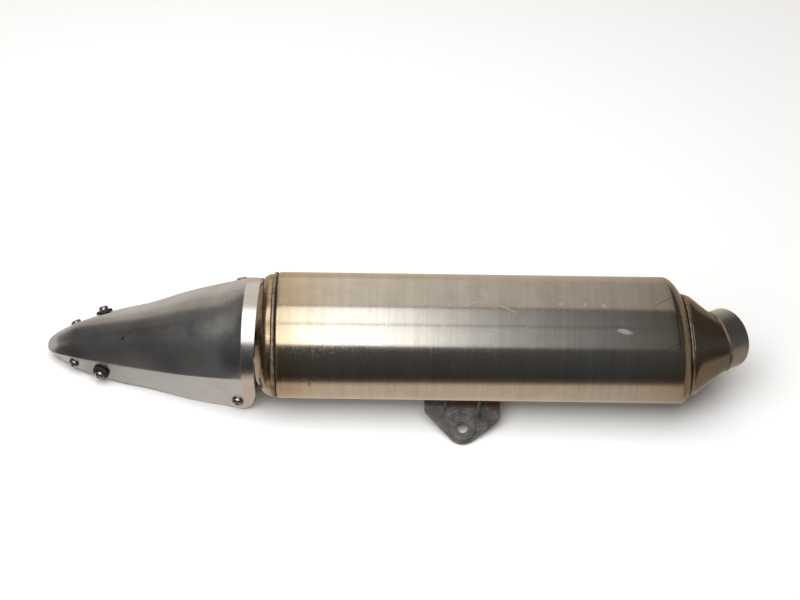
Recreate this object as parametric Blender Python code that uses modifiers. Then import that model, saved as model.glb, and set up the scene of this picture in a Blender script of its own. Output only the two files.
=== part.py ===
"""Exhaust muffler: a round steel can with an oblique inlet, a hanger plate and a slipper-shaped outlet cover.

Run with: blender --background --python part.py
In the muffler's own frame X runs along the can to the inlet, Z points out of the cover's face and -Y points
to the hanger. The muffler is then rolled about X, so that it lies on its can and on the hanger's tip.
"""
import math

import bmesh
import bpy
from mathutils import Vector

MM = 0.001
GAP = 0.3 * MM
ROLL = math.radians(25.2)
MERGE = 0.00001
X_AXIS = Vector((1, 0, 0))
Y_AXIS = Vector((0, 1, 0))
Z_AXIS = Vector((0, 0, 1))

# Can
CAN_RADIUS = 60 * MM
CAN_WALL = 1.2 * MM
CAN_SIDES = 48
TUBE_SIDES = 24
CUTTER_SIDES = 24
CAN_REAR = -115.5 * MM
SHOULDER_X = 257 * MM
SHOULDER_LEAN = 9 * MM
TILT_DIRECTION = Vector((0, math.cos(math.radians(15)), math.sin(math.radians(15))))

# Front seam, cone and inlet pipe
SEAM_CENTRE = Vector((271.6, -4.2, -1.1)) * MM
SEAM_TILT = math.radians(5.3)
SEAM_RADIUS = 48 * MM
SEAM_BEAD = 1.5 * MM
CONE_WALL = 1.5 * MM
MITRE_CENTRE = Vector((301.1, 0.4, -4.2)) * MM
MITRE_NORMAL = Vector((0.917, 0.356, -0.181)).normalized()
PIPE_DIRECTION = Vector((0.780, 0.398, -0.483)).normalized()
PIPE_RADIUS = 29 * MM
PIPE_WALL = 1.6 * MM
PIPE_LENGTH = 14.9 * MM
MITRE_BEAD = 1.3 * MM

# Rear bulkhead
REAR_BEAD = 1.9 * MM
REAR_BEAD_X = -117.7 * MM
REAR_BEAD_SINK = 1.7 * MM
BULKHEAD_FACE = -135 * MM
BULKHEAD_WALL = 1.5 * MM
# Radius and x in mm, from the rim over the dome to the flat face
BULKHEAD_PROFILE = ((58, -119.9), (57.2, -122), (54.6, -126), (51.6, -129.5), (49.6, -131.8), (47.8, -134),
                    (45.6, -135), (0, -135))

# Inside the can
LINING_REAR = -112 * MM
LINING_FRONT = 240 * MM
WOOL_OUTER = 58.3 * MM
WOOL_INNER = 55 * MM
LINER_OUTER = 54.7 * MM
LINER_WALL = 0.8 * MM
BAFFLE_RADIUS = 53.4 * MM
BAFFLE_WALL = 1.5 * MM
BAFFLE_FLANGE = 8 * MM
FRONT_BAFFLE_X = 234 * MM
MIDDLE_BAFFLE_X = 90 * MM
REAR_BAFFLE_X = -42 * MM
TUBE_WALL = 1.2 * MM
INLET_TUBE = {"y": 0.0, "z": 24 * MM, "radius": 25 * MM, "rear": -62 * MM, "front": 250 * MM}
OUTLET_TUBE = {"y": 0.0, "z": -28 * MM, "radius": 20 * MM, "rear": -131 * MM, "front": 122 * MM}
UPPER_TRANSFER = {"y": 36 * MM, "z": -2 * MM, "radius": 13 * MM, "rear": -64 * MM, "front": 112 * MM}
LOWER_TRANSFER = {"y": -36 * MM, "z": -2 * MM, "radius": 13 * MM, "rear": -64 * MM, "front": 112 * MM}

# Tailpipe
TAIL_START = -131.6 * MM
TAIL_BEND_START = -200 * MM
TAIL_BEND_RADIUS = 250 * MM
TAIL_BEND_ANGLE = math.radians(14.4)
TAIL_WALL = 1.5 * MM
TAIL_BEAD = 1.5 * MM

# Outlet cover: x, crown height, crease height, crease half width, edge height, edge half width, in mm
COVER_RIM = (
    (-133.4, 57, 20.5, 50.4, -8, 57.6),
    (-136.5, 57, 20.5, 50.5, -22, 61.1),
    (-141, 57, 20.5, 50.6, -31.5, 63.5),
    (-146, 57, 20.5, 50.6, -34, 64.2),
)
COVER_SLOPE = (
    (-146, 57, 20.5, 50.6, -34, 64.2),
    (-150, 54.9, 19.2, 49.6, -35.3, 64),
    (-200, 34, 4, 42, -39.5, 54.8),
    (-238, 17, -10, 34, -42.5, 44.2),
    (-279, -3, -19.2, 25.3, -45.2, 35),
    (-312, -20, -28.8, 17.8, -48, 23.8),
    (-331, -34.5, -40, 12, -50, 12.6),
    (-338.5, -42, -44.6, 8.4, -50.4, 8.6),
    (-342.2, -46, -47.2, 5.2, -50.6, 5.3),
    (-343.6, -48, -48.6, 2.8, -50.6, 2.9),
)
COVER_STATIONS = (-133.4, -134.6, -136.5, -141, -146, -148, -156, -172, -190, -210, -230, -250, -270, -288, -302,
                  -314, -324, -331.5, -337, -341, -343.6)
COVER_WALL = 1.6 * MM
COVER_NOSE_WALL = 1.9 * MM
RIM_SKEW = 0.05
RIM_SKEW_END = -160
CROWN_STEPS = 12
CROWN_BLEND = 20
SIDE_STEPS = 2

# Cover fasteners
SHANK_RADIUS = 3 * MM
BORE_RADIUS = 3.4 * MM
NUT_RADIUS = 5.77 * MM
GROMMET_NECK = 5 * MM
FASTENERS = {
    "can_end": {"x": -154, "z": -22.5, "head": 5.8, "height": 3.2, "seat": 0.4, "shank": 12,
                "hole": 3.6, "nut": 4.8, "nut_height": 5},
    "middle": {"x": -288, "z": -36.5, "head": 4.9, "height": 3.6, "seat": 3.9, "shank": 17,
               "hole": 5.4, "nut": 6.8, "nut_height": 5},
    "nose": {"x": -316, "z": -41.5, "head": 5.2, "height": 2.8, "seat": 0.4, "shank": 10,
             "hole": 3.6, "nut": 5, "nut_height": 4},
}
SIDES = {"upper": 1, "lower": -1}
STRAP = 2 * MM

# Hanger
PLATE_WALL = 3 * MM
PLATE_FRONT = -16.5 * MM
PLATE_BEND = 9 * MM
PLATE_X = (24 * MM, 96 * MM)
PLATE_REACH = -110 * MM
FOOT_ANGLE = math.radians(42)
HOLE_CENTRE = Vector((60.3, -84.5, 0)) * MM
HOLE_RADIUS = 5.2 * MM
BOSS_RADIUS = 13 * MM
BOSS_NECK = 8 * MM
BOSS_RISE = 2 * MM
TIP_RADIUS = 15 * MM
CORNER_RADIUS = 6 * MM
RIGHT_CORNER = Vector((90, -72.5, 0)) * MM
LEFT_CORNER = Vector((30, -66.1, 0)) * MM
GUSSET_X = {"rear": 44 * MM, "front": 76 * MM}
GUSSET_WALL = 2.5 * MM
GUSSET_REACH = {"rear": -69.5 * MM, "front": -75 * MM}


# --- scene helpers -------------------------------------------------------------------------------

def clear_scene():
    for item in list(bpy.data.objects):
        bpy.data.objects.remove(item)


def new_collection(name):
    made = bpy.data.collections.new(name)
    bpy.context.scene.collection.children.link(made)
    return made


def new_material(name, colour, metallic, roughness):
    made = bpy.data.materials.new(name)
    made.use_nodes = True
    shader = made.node_tree.nodes["Principled BSDF"]
    shader.inputs["Base Color"].default_value = (*colour, 1)
    shader.inputs["Metallic"].default_value = metallic
    shader.inputs["Roughness"].default_value = roughness
    made.diffuse_color = (*colour, 1)
    return made


class Kit:
    """The collections, the parent and the materials that every piece shares."""

    def __init__(self):
        self.parts = new_collection("exhaust_muffler")
        self.cutters = new_collection("cutters")
        self.root = bpy.data.objects.new("muffler_rest", None)
        self.root.rotation_euler.x = ROLL
        self.parts.objects.link(self.root)
        self.steel = new_material("brushed_steel", (0.60, 0.56, 0.50), 1, 0.28)
        self.weld = new_material("weld_steel", (0.42, 0.33, 0.25), 1, 0.5)
        self.inner = new_material("inner_steel", (0.36, 0.34, 0.32), 1, 0.45)
        self.wool = new_material("glass_wool", (0.78, 0.74, 0.62), 0, 0.95)
        self.alloy = new_material("polished_aluminium", (0.72, 0.72, 0.71), 1, 0.25)
        self.screw = new_material("screw_steel", (0.62, 0.62, 0.62), 1, 0.3)
        self.rubber = new_material("black_rubber", (0.02, 0.02, 0.02), 0, 0.7)
        self.hanger = new_material("hanger_steel", (0.22, 0.21, 0.20), 1, 0.55)

    def add(self, name, mesh, material):
        made = bpy.data.objects.new(name, mesh)
        mesh.materials.append(material)
        self.parts.objects.link(made)
        made.parent = self.root
        return made

    def add_cutter(self, name, radius, depth, centre, direction):
        """A round cutter, centred at a point and aligned with a direction."""
        shape = bmesh.new()
        bmesh.ops.create_cone(shape, cap_ends=True, segments=CUTTER_SIDES,
                              radius1=radius, radius2=radius, depth=depth)
        mesh = bpy.data.meshes.new(name)
        shape.to_mesh(mesh)
        shape.free()
        made = bpy.data.objects.new(name, mesh)
        self.place_cutter(made)
        made.location = centre
        made.rotation_euler = direction.to_track_quat("Z", "Y").to_euler()
        return made

    def place_cutter(self, made):
        self.cutters.objects.link(made)
        made.parent = self.root
        made.hide_render = True
        made.display_type = "WIRE"


def cut(target, cutter, operation="DIFFERENCE"):
    step = target.modifiers.new(cutter.name, "BOOLEAN")
    step.operation = operation
    step.object = cutter


def thicken(target, thickness, offset):
    step = target.modifiers.new("wall", "SOLIDIFY")
    step.thickness = thickness
    step.offset = offset
    step.use_even_offset = True


def turned(kit, name, profile, material, closed, sides=40, centre=Vector(), direction=X_AXIS):
    """A profile of (radius, height) points, turned about an axis; its outer side runs from top to bottom."""
    mesh = bpy.data.meshes.new(name)
    count = len(profile)
    edges = [(step, step + 1) for step in range(count - 1)]
    if closed:
        edges.append((count - 1, 0))
    mesh.from_pydata([(radius, 0, height) for radius, height in profile], edges, [])
    made = kit.add(name, mesh, material)
    made.location = centre
    made.rotation_euler = direction.to_track_quat("Z", "Y").to_euler()
    spin = made.modifiers.new("spin", "SCREW")
    spin.steps = sides
    spin.render_steps = sides
    spin.use_merge_vertices = True
    spin.merge_threshold = MERGE
    return made


def sleeve_profile(outer, wall, top, bottom):
    return [(outer, top), (outer, bottom), (outer - wall, bottom), (outer - wall, top)]


def ring(centre, normal, radius, sides=CAN_SIDES):
    """Points of a circle, counted from the Y side toward the Z side."""
    across = (Y_AXIS - normal * normal.dot(Y_AXIS)).normalized()
    rise = normal.cross(across)
    points = []
    for step in range(sides):
        angle = math.tau * step / sides
        points.append(centre + (across * math.cos(angle) + rise * math.sin(angle)) * radius)
    return points


def loft(kit, name, rings, material, closed=True):
    """An open skin through rows of points, facing out when closed rings follow each other along X."""
    mesh = bpy.data.meshes.new(name)
    count = len(rings[0])
    spans = count if closed else count - 1
    faces = []
    for row in range(len(rings) - 1):
        for step in range(spans):
            after = (step + 1) % count
            faces.append((row * count + step, row * count + after,
                          (row + 1) * count + after, (row + 1) * count + step))
    mesh.from_pydata([point for points in rings for point in points], [], faces)
    return kit.add(name, mesh, material)


def bead(kit, name, points, radius, material):
    """A round weld bead along a closed row of points, as a mesh."""
    curve = bpy.data.curves.new(name + "_path", "CURVE")
    curve.dimensions = "3D"
    curve.bevel_depth = radius
    curve.bevel_resolution = 1
    spline = curve.splines.new("POLY")
    spline.points.add(len(points) - 1)
    spline.use_cyclic_u = True
    for place, point in zip(spline.points, points):
        place.co = (*point, 1)
    path = bpy.data.objects.new(name + "_path", curve)
    return kit.add(name, mesh_from(path, name), material)


def mesh_from(curve_object, name):
    """The welded mesh of a curve object, which is then removed."""
    bpy.context.scene.collection.objects.link(curve_object)
    bpy.context.view_layer.update()
    view = bpy.context.evaluated_depsgraph_get()
    mesh = bpy.data.meshes.new_from_object(curve_object.evaluated_get(view))
    mesh.name = name
    mesh.materials.clear()
    shape = bmesh.new()
    shape.from_mesh(mesh)
    bmesh.ops.remove_doubles(shape, verts=shape.verts, dist=MERGE)
    bmesh.ops.recalc_face_normals(shape, faces=shape.faces)
    shape.to_mesh(mesh)
    shape.free()
    bpy.data.objects.remove(curve_object)
    return mesh


# --- can and inlet -------------------------------------------------------------------------------

SEAM_NORMAL = X_AXIS * math.cos(SEAM_TILT) + TILT_DIRECTION * math.sin(SEAM_TILT)


def pipe_ring(distance, radius):
    """The pipe's ring that far past the mitre's centre, square to the pipe."""
    return ring(MITRE_CENTRE + PIPE_DIRECTION * distance, PIPE_DIRECTION, radius)


def mitre_ring(shift, radius):
    """The pipe's outline on a plane parallel to the mitre."""
    plane = MITRE_CENTRE + MITRE_NORMAL * shift
    slope = PIPE_DIRECTION.dot(MITRE_NORMAL)
    return [point - PIPE_DIRECTION * ((point - plane).dot(MITRE_NORMAL) / slope)
            for point in pipe_ring(0, radius)]


def can_shell(kit):
    lip = ring(SEAM_CENTRE - SEAM_NORMAL * (SEAM_BEAD + GAP), SEAM_NORMAL, SEAM_RADIUS)
    round_can = ring(Vector(), X_AXIS, CAN_RADIUS)
    edge = [point + X_AXIS * CAN_REAR for point in round_can]
    rings = [edge]
    for share in (0, 0.2, 0.4, 0.6, 0.8, 1):
        row = []
        for point, end in zip(round_can, lip):
            start_x = SHOULDER_X - SHOULDER_LEAN * point.dot(TILT_DIRECTION) / CAN_RADIUS
            start = point + X_AXIS * start_x
            corner = point + X_AXIS * (start_x + 0.42 * (end.x - start_x))
            row.append(start * (1 - share) ** 2 + corner * 2 * share * (1 - share) + end * share ** 2)
        rings.append(row)
    made = loft(kit, "can_shell", rings, kit.steel)
    thicken(made, CAN_WALL, -1)


def inlet_cone(kit):
    start = ring(SEAM_CENTRE + SEAM_NORMAL * (SEAM_BEAD + GAP), SEAM_NORMAL, SEAM_RADIUS)
    collar = ring(SEAM_CENTRE + SEAM_NORMAL * 6.5 * MM, SEAM_NORMAL, SEAM_RADIUS - 2.2 * MM)
    end = mitre_ring(-MITRE_BEAD - GAP, PIPE_RADIUS)
    middle = [(a + b) / 2 for a, b in zip(collar, end)]
    made = loft(kit, "inlet_cone", [start, collar, middle, end], kit.steel)
    thicken(made, CONE_WALL, -1)


def inlet_pipe(kit):
    start = mitre_ring(MITRE_BEAD + GAP, PIPE_RADIUS)
    made = loft(kit, "inlet_pipe", [start, pipe_ring(PIPE_LENGTH, PIPE_RADIUS)], kit.alloy)
    thicken(made, PIPE_WALL, -1)


def weld_beads(kit):
    front = ring(SEAM_CENTRE, SEAM_NORMAL, SEAM_RADIUS - 0.5 * MM)
    bead(kit, "front_weld_bead", front, SEAM_BEAD, kit.weld)
    bead(kit, "inlet_weld_bead", mitre_ring(0, PIPE_RADIUS - 0.4 * MM), MITRE_BEAD, kit.weld)
    rear = ring(X_AXIS * REAR_BEAD_X, X_AXIS, CAN_RADIUS - REAR_BEAD_SINK)
    bead(kit, "rear_weld_bead", rear, REAR_BEAD, kit.weld)
    tail_centre = Vector((BULKHEAD_FACE - TAIL_BEAD - GAP, OUTLET_TUBE["y"], OUTLET_TUBE["z"]))
    tail = ring(tail_centre, X_AXIS, OUTLET_TUBE["radius"] + TAIL_BEAD + GAP, 40)
    bead(kit, "tailpipe_weld_bead", tail, TAIL_BEAD, kit.weld)


def rear_bulkhead(kit):
    profile = [(radius * MM, x * MM) for radius, x in BULKHEAD_PROFILE]
    made = turned(kit, "rear_bulkhead", profile, kit.inner, False, CAN_SIDES)
    thicken(made, BULKHEAD_WALL, -1)
    centre = Vector((BULKHEAD_FACE, OUTLET_TUBE["y"], OUTLET_TUBE["z"]))
    cut(made, kit.add_cutter("outlet_hole", OUTLET_TUBE["radius"] + 0.7 * MM, 20 * MM, centre, X_AXIS))


# --- inside the can ------------------------------------------------------------------------------

def lining(kit):
    wool = sleeve_profile(WOOL_OUTER, WOOL_OUTER - WOOL_INNER, LINING_FRONT, LINING_REAR)
    turned(kit, "glass_wool_lining", wool, kit.wool, True, 48)
    liner = sleeve_profile(LINER_OUTER, LINER_WALL, LINING_FRONT, LINING_REAR)
    turned(kit, "inner_liner", liner, kit.inner, True, 48)


def core_tube(kit, name, size):
    profile = sleeve_profile(size["radius"], TUBE_WALL, size["front"], size["rear"])
    turned(kit, name, profile, kit.inner, True, TUBE_SIDES, Vector((0, size["y"], size["z"])))


def baffle(kit, name, place, tubes):
    lip = BAFFLE_RADIUS - BAFFLE_WALL
    profile = [(0, place + BAFFLE_WALL), (lip, place + BAFFLE_WALL), (lip, place + BAFFLE_FLANGE),
               (BAFFLE_RADIUS, place + BAFFLE_FLANGE), (BAFFLE_RADIUS, place), (0, place)]
    made = turned(kit, name, profile, kit.inner, False, 36)
    for index, size in enumerate(tubes):
        centre = Vector((place, size["y"], size["z"]))
        cut(made, kit.add_cutter(f"{name}_hole_{index}", size["radius"] + 0.6 * MM, 12 * MM,
                                 centre, X_AXIS))


def internals(kit):
    lining(kit)
    core_tube(kit, "inlet_core_tube", INLET_TUBE)
    core_tube(kit, "outlet_core_tube", OUTLET_TUBE)
    core_tube(kit, "transfer_tube_upper", UPPER_TRANSFER)
    core_tube(kit, "transfer_tube_lower", LOWER_TRANSFER)
    passing = (INLET_TUBE, OUTLET_TUBE, UPPER_TRANSFER, LOWER_TRANSFER)
    baffle(kit, "front_baffle", FRONT_BAFFLE_X, (INLET_TUBE,))
    baffle(kit, "middle_baffle", MIDDLE_BAFFLE_X, passing)
    baffle(kit, "rear_baffle", REAR_BAFFLE_X, passing)


def tail_point(angle):
    """A point on the tailpipe's bend, and the pipe's direction there."""
    drop = TAIL_BEND_RADIUS * (1 - math.cos(angle))
    point = Vector((TAIL_BEND_START - TAIL_BEND_RADIUS * math.sin(angle), 0, OUTLET_TUBE["z"] - drop))
    return point, Vector((math.cos(angle), 0, math.sin(angle)))


def tailpipe(kit):
    steps = 4
    rings = []
    for step in range(steps, -1, -1):
        point, direction = tail_point(TAIL_BEND_ANGLE * step / steps)
        rings.append(ring(point, direction, OUTLET_TUBE["radius"], 40))
    rings.append(ring(Vector((TAIL_START, 0, OUTLET_TUBE["z"])), X_AXIS, OUTLET_TUBE["radius"], 40))
    made = loft(kit, "tailpipe", rings, kit.steel)
    thicken(made, TAIL_WALL, -1)


# --- outlet cover --------------------------------------------------------------------------------

def interpolate(table, x):
    """Smooth values between the rows of a table whose x falls from row to row."""
    last = len(table) - 2
    row = 0
    while row < last and x < table[row + 1][0]:
        row += 1
    start, end = table[row], table[row + 1]
    before = table[row - 1] if row > 0 else None
    after = table[row + 2] if row < last else None
    span = end[0] - start[0]
    share = (x - start[0]) / span
    values = []
    for column in range(1, len(start)):
        rise = end[column] - start[column]
        slope_in = rise
        slope_out = rise
        if before:
            slope_in = (end[column] - before[column]) * span / (end[0] - before[0])
        if after:
            slope_out = (after[column] - start[column]) * span / (after[0] - start[0])
        values.append(start[column]
                      + slope_in * (share ** 3 - 2 * share ** 2 + share)
                      + rise * (3 * share ** 2 - 2 * share ** 3)
                      + slope_out * (share ** 3 - share ** 2))
    return values


def cover_values(x):
    """Crown, crease and edge of the cover at a station, in metres."""
    table = COVER_RIM if x >= COVER_RIM[-1][0] else COVER_SLOPE
    return [value * MM for value in interpolate(table, x)]


def cover_section(x):
    """The cover's outline at a station as (y, z) points, from the upper edge over the crown to the lower.

    The crown is a round arc at the rim and turns into a parabola, with a sharper crease at the walls.
    """
    crown, crease_z, crease_y, edge_z, edge_y = cover_values(x)
    sag = crown - crease_z
    radius = (crease_y ** 2 + sag ** 2) / (2 * sag)
    reach = math.atan2(crease_y, crease_z - crown + radius)
    flatness = min(1, max(0, (COVER_RIM[-1][0] - x) / CROWN_BLEND))
    half = []
    for step in range(CROWN_STEPS // 2):
        angle = reach * 2 * step / CROWN_STEPS
        y = radius * math.sin(angle)
        round_z = crown - radius + radius * math.cos(angle)
        flat_z = crown - sag * (y / crease_y) ** 2
        half.append((y, round_z + (flat_z - round_z) * flatness))
    for step in range(SIDE_STEPS + 1):
        share = step / SIDE_STEPS
        half.append((crease_y + (edge_y - crease_y) * share, crease_z + (edge_z - crease_z) * share))
    other = [(-y, z) for y, z in half[1:]]
    return half[:0:-1] + [half[0]] + other


def inset(points, distance):
    """The same outline moved inward by the sheet's thickness."""
    moved = []
    last = len(points) - 1
    for index, (y, z) in enumerate(points):
        back = points[max(index - 1, 0)]
        ahead = points[min(index + 1, last)]
        along = Vector((ahead[0] - back[0], ahead[1] - back[1])).normalized()
        moved.append((y - along.y * distance, z + along.x * distance))
    return moved


def cover_shell(kit):
    shape = bmesh.new()
    outer = []
    inner = []
    last = len(COVER_STATIONS) - 1
    for index, station in enumerate(COVER_STATIONS):
        section = cover_section(station)
        pull = COVER_NOSE_WALL if index == last else 0
        skew = max(0, RIM_SKEW * (station - RIM_SKEW_END) / (COVER_STATIONS[0] - RIM_SKEW_END))
        outer.append([shape.verts.new((station * MM + skew * y, y, z)) for y, z in section])
        inner.append([shape.verts.new((station * MM + pull + skew * y, y, z))
                      for y, z in inset(section, COVER_WALL)])
    count = len(outer[0])
    for row in range(last):
        for skin in (outer, inner):
            for step in range(count - 1):
                shape.faces.new((skin[row][step], skin[row][step + 1],
                                 skin[row + 1][step + 1], skin[row + 1][step]))
        for step in (0, count - 1):
            shape.faces.new((outer[row][step], outer[row + 1][step], inner[row + 1][step], inner[row][step]))
    for step in range(count - 1):
        shape.faces.new((outer[0][step], outer[0][step + 1], inner[0][step + 1], inner[0][step]))
    shape.faces.new(outer[last])
    shape.faces.new(inner[last])
    shape.faces.new((outer[last][0], outer[last][-1], inner[last][-1], inner[last][0]))
    bmesh.ops.recalc_face_normals(shape, faces=shape.faces)
    mesh = bpy.data.meshes.new("cover_shell")
    shape.to_mesh(mesh)
    shape.free()
    made = kit.add("cover_shell", mesh, kit.alloy)
    for row, size in FASTENERS.items():
        for side, sign in SIDES.items():
            point, normal, _down, _along = side_frame(size["x"], size["z"], sign)
            cut(made, kit.add_cutter(f"cover_{row}_{side}_hole", size["hole"] * MM, 12 * MM, point, normal))


def side_point(x, share, sign):
    """A point on the cover's side wall, at a share of the way from crease to edge."""
    _crown, crease_z, crease_y, edge_z, edge_y = cover_values(x)
    y = crease_y + (edge_y - crease_y) * share
    return Vector((x * MM, sign * y, crease_z + (edge_z - crease_z) * share))


def side_frame(x, height, sign):
    """Point, outward normal, downward and forward directions on the cover's side wall."""
    _crown, crease_z, _crease_y, edge_z, _edge_y = cover_values(x)
    share = (crease_z - height * MM) / (crease_z - edge_z)
    reach = 4
    along = side_point(x + reach, share, sign) - side_point(x - reach, share, sign)
    down = side_point(x, share + 0.1, sign) - side_point(x, share - 0.1, sign)
    along.normalize()
    down = (down - along * down.dot(along)).normalized()
    normal = along.cross(down) * sign
    return side_point(x, share, sign), normal, down, along


def cover_screw(kit, name, size, point, normal):
    seat = size["seat"] * MM
    top = seat + size["height"] * MM
    head = size["head"] * MM
    end = seat - size["shank"] * MM
    socket = 2.1 * MM
    depth = 1.8 * MM
    profile = [(0, top - depth), (socket, top - depth), (socket, top), (head * 0.62, top),
               (head * 0.86, top - 0.7 * MM), (head, seat + 0.9 * MM), (head, seat),
               (SHANK_RADIUS, seat), (SHANK_RADIUS, end), (0, end)]
    turned(kit, name, profile, kit.screw, False, 20, point, normal)


def cover_nut(kit, name, size, point, normal):
    shape = bmesh.new()
    height = size["nut_height"] * MM
    bmesh.ops.create_cone(shape, cap_ends=True, segments=6, radius1=NUT_RADIUS, radius2=NUT_RADIUS,
                          depth=height)
    mesh = bpy.data.meshes.new(name)
    shape.to_mesh(mesh)
    shape.free()
    made = kit.add(name, mesh, kit.screw)
    made.location = point - normal * (size["nut"] * MM + height / 2)
    made.rotation_euler = normal.to_track_quat("Z", "Y").to_euler()
    cut(made, kit.add_cutter(name + "_bore", BORE_RADIUS, 3 * height, made.location, normal))


def cover_grommet(kit, name, point, normal):
    flange = 8.2 * MM
    top = 3.5 * MM
    inner_flange = 7 * MM
    back = -3.9 * MM
    profile = [(BORE_RADIUS, top), (flange - MM, top), (flange, top - 0.9 * MM), (flange, 0.4 * MM),
               (GROMMET_NECK, 0.4 * MM), (GROMMET_NECK, -2.2 * MM), (inner_flange, -2.2 * MM),
               (inner_flange, back), (BORE_RADIUS, back)]
    turned(kit, name, profile, kit.rubber, True, 24, point, normal)


def cover_fasteners(kit):
    for row, size in FASTENERS.items():
        for side, sign in SIDES.items():
            point, normal, _down, _along = side_frame(size["x"], size["z"], sign)
            cover_screw(kit, f"{row}_screw_{side}", size, point, normal)
            cover_nut(kit, f"{row}_nut_{side}", size, point, normal)
            if row == "middle":
                cover_grommet(kit, f"middle_grommet_{side}", point, normal)


def ear_holes(kit, strap, row, sides):
    size = FASTENERS[row]
    for side in sides:
        point, normal, _down, _along = side_frame(size["x"], size["z"], SIDES[side])
        centre = point - normal * 5 * MM
        cut(strap, kit.add_cutter(f"{strap.name}_{side}_hole", 3.6 * MM, 12 * MM, centre, normal))


def can_end_tab(kit, side):
    """A bent strap from the bulkhead's face to the cover's screw beside the can."""
    size = FASTENERS["can_end"]
    sign = SIDES[side]
    point, normal, down, along = side_frame(size["x"], size["z"], sign)
    middle = point - normal * 3.2 * MM
    half = 7 * MM
    foot_x = BULKHEAD_FACE - GAP - STRAP / 2 - 0.1 * MM
    rows = [(middle - along * 8 * MM - down * half, middle - along * 8 * MM + down * half),
            (middle + along * 6.6 * MM - down * half, middle + along * 6.6 * MM + down * half)]
    for x, y in ((foot_x - 4 * MM, 52 * MM), (foot_x, 47 * MM), (foot_x, 34 * MM)):
        rows.append((Vector((x, sign * y, middle.z + half)), Vector((x, sign * y, middle.z - half))))
    made = loft(kit, f"can_end_tab_{side}", rows, kit.hanger, closed=False)
    thicken(made, STRAP, 0)
    ear_holes(kit, made, "can_end", (side,))


def bridge(kit, row, depth, half, rise, drop, web_y, web_z):
    """A strap that joins the two ears behind a pair of screws."""
    size = FASTENERS[row]
    point, normal, down, along = side_frame(size["x"], size["z"], 1)
    middle = point - normal * depth
    rows = [(middle + down * drop - along * half, middle + down * drop + along * half),
            (middle - down * rise - along * half, middle - down * rise + along * half)]
    for y in (web_y, 0):
        rows.append((Vector((size["x"] * MM - half, y, web_z)), Vector((size["x"] * MM + half, y, web_z))))
    made = loft(kit, f"{row}_bridge", rows, kit.hanger, closed=False)
    mirror = made.modifiers.new("mirror", "MIRROR")
    mirror.use_axis = (False, True, False)
    mirror.merge_threshold = MERGE
    thicken(made, STRAP * 0.9, 0)
    ear_holes(kit, made, row, ("upper", "lower"))


def cover_stay(kit):
    """The strip that carries both bridges from the top of the tailpipe."""
    path = ((-234, -8.6), (-256, -12.3), (-268.5, -14.8), (-280, -21.4), (-296, -21.6),
            (-309.5, -31.4), (-321.5, -31.6))
    half = 6 * MM
    rows = [(Vector((x * MM, half, z * MM)), Vector((x * MM, -half, z * MM))) for x, z in path]
    made = loft(kit, "cover_stay", rows, kit.hanger, closed=False)
    thicken(made, STRAP * 0.9, 0)


def cover_brackets(kit):
    for side in SIDES:
        can_end_tab(kit, side)
    bridge(kit, "middle", 5.3 * MM, 7 * MM, 9 * MM, 5.5 * MM, 14 * MM, -24 * MM)
    bridge(kit, "nose", 3.6 * MM, 5.2 * MM, 6 * MM, 5 * MM, 10 * MM, -33.8 * MM)
    cover_stay(kit)


# --- hanger --------------------------------------------------------------------------------------

def hanger_path():
    """The sheet's line as (y, z): round the can from behind, over the bend and straight out."""
    contact = CAN_RADIUS + GAP
    bend_z = PLATE_FRONT - PLATE_BEND
    bend_y = -math.sqrt((contact + PLATE_BEND) ** 2 - bend_z ** 2)
    meet = math.atan2(-bend_z, -bend_y)
    path = []
    for step in range(9):
        angle = FOOT_ANGLE + (meet - FOOT_ANGLE) * step / 8
        path.append((-contact * math.cos(angle), -contact * math.sin(angle)))
    for step in range(1, 7):
        angle = meet + (math.pi / 2 - meet) * step / 6
        path.append((bend_y + PLATE_BEND * math.cos(angle), bend_z + PLATE_BEND * math.sin(angle)))
    path.append((PLATE_REACH, PLATE_FRONT))
    return path


def tangent_angle(start, start_radius, end, end_radius):
    """The angle of the common tangent's normal, below two corner discs."""
    between = end - start
    lean = math.acos((start_radius - end_radius) / between.length)
    return math.atan2(between.y, between.x) + lean


def arc(centre, radius, start, end, steps):
    points = []
    for step in range(steps + 1):
        angle = start + (end - start) * step / steps
        points.append((centre.x + radius * math.cos(angle), centre.y + radius * math.sin(angle)))
    return points


def hanger_outline():
    right = tangent_angle(RIGHT_CORNER, CORNER_RADIUS, HOLE_CENTRE, TIP_RADIUS)
    left = tangent_angle(HOLE_CENTRE, TIP_RADIUS, LEFT_CORNER, CORNER_RADIUS) - math.tau
    points = [(PLATE_X[0], -20 * MM), (PLATE_X[1], -20 * MM)]
    points += arc(RIGHT_CORNER, CORNER_RADIUS, 0, right, 4)
    points += arc(HOLE_CENTRE, TIP_RADIUS, right, left, 10)
    points += arc(LEFT_CORNER, CORNER_RADIUS, left, -math.pi, 4)
    return points


def outline_prism(kit):
    """The hanger's outline as a tall block, used to trim the bent sheet."""
    curve = bpy.data.curves.new("hanger_outline_path", "CURVE")
    curve.dimensions = "2D"
    curve.fill_mode = "BOTH"
    curve.extrude = 90 * MM
    points = hanger_outline()
    spline = curve.splines.new("POLY")
    spline.points.add(len(points) - 1)
    spline.use_cyclic_u = True
    for place, (x, y) in zip(spline.points, points):
        place.co = (x, y, 0, 1)
    path = bpy.data.objects.new("hanger_outline_path", curve)
    made = bpy.data.objects.new("hanger_outline", mesh_from(path, "hanger_outline"))
    kit.place_cutter(made)
    return made


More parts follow.
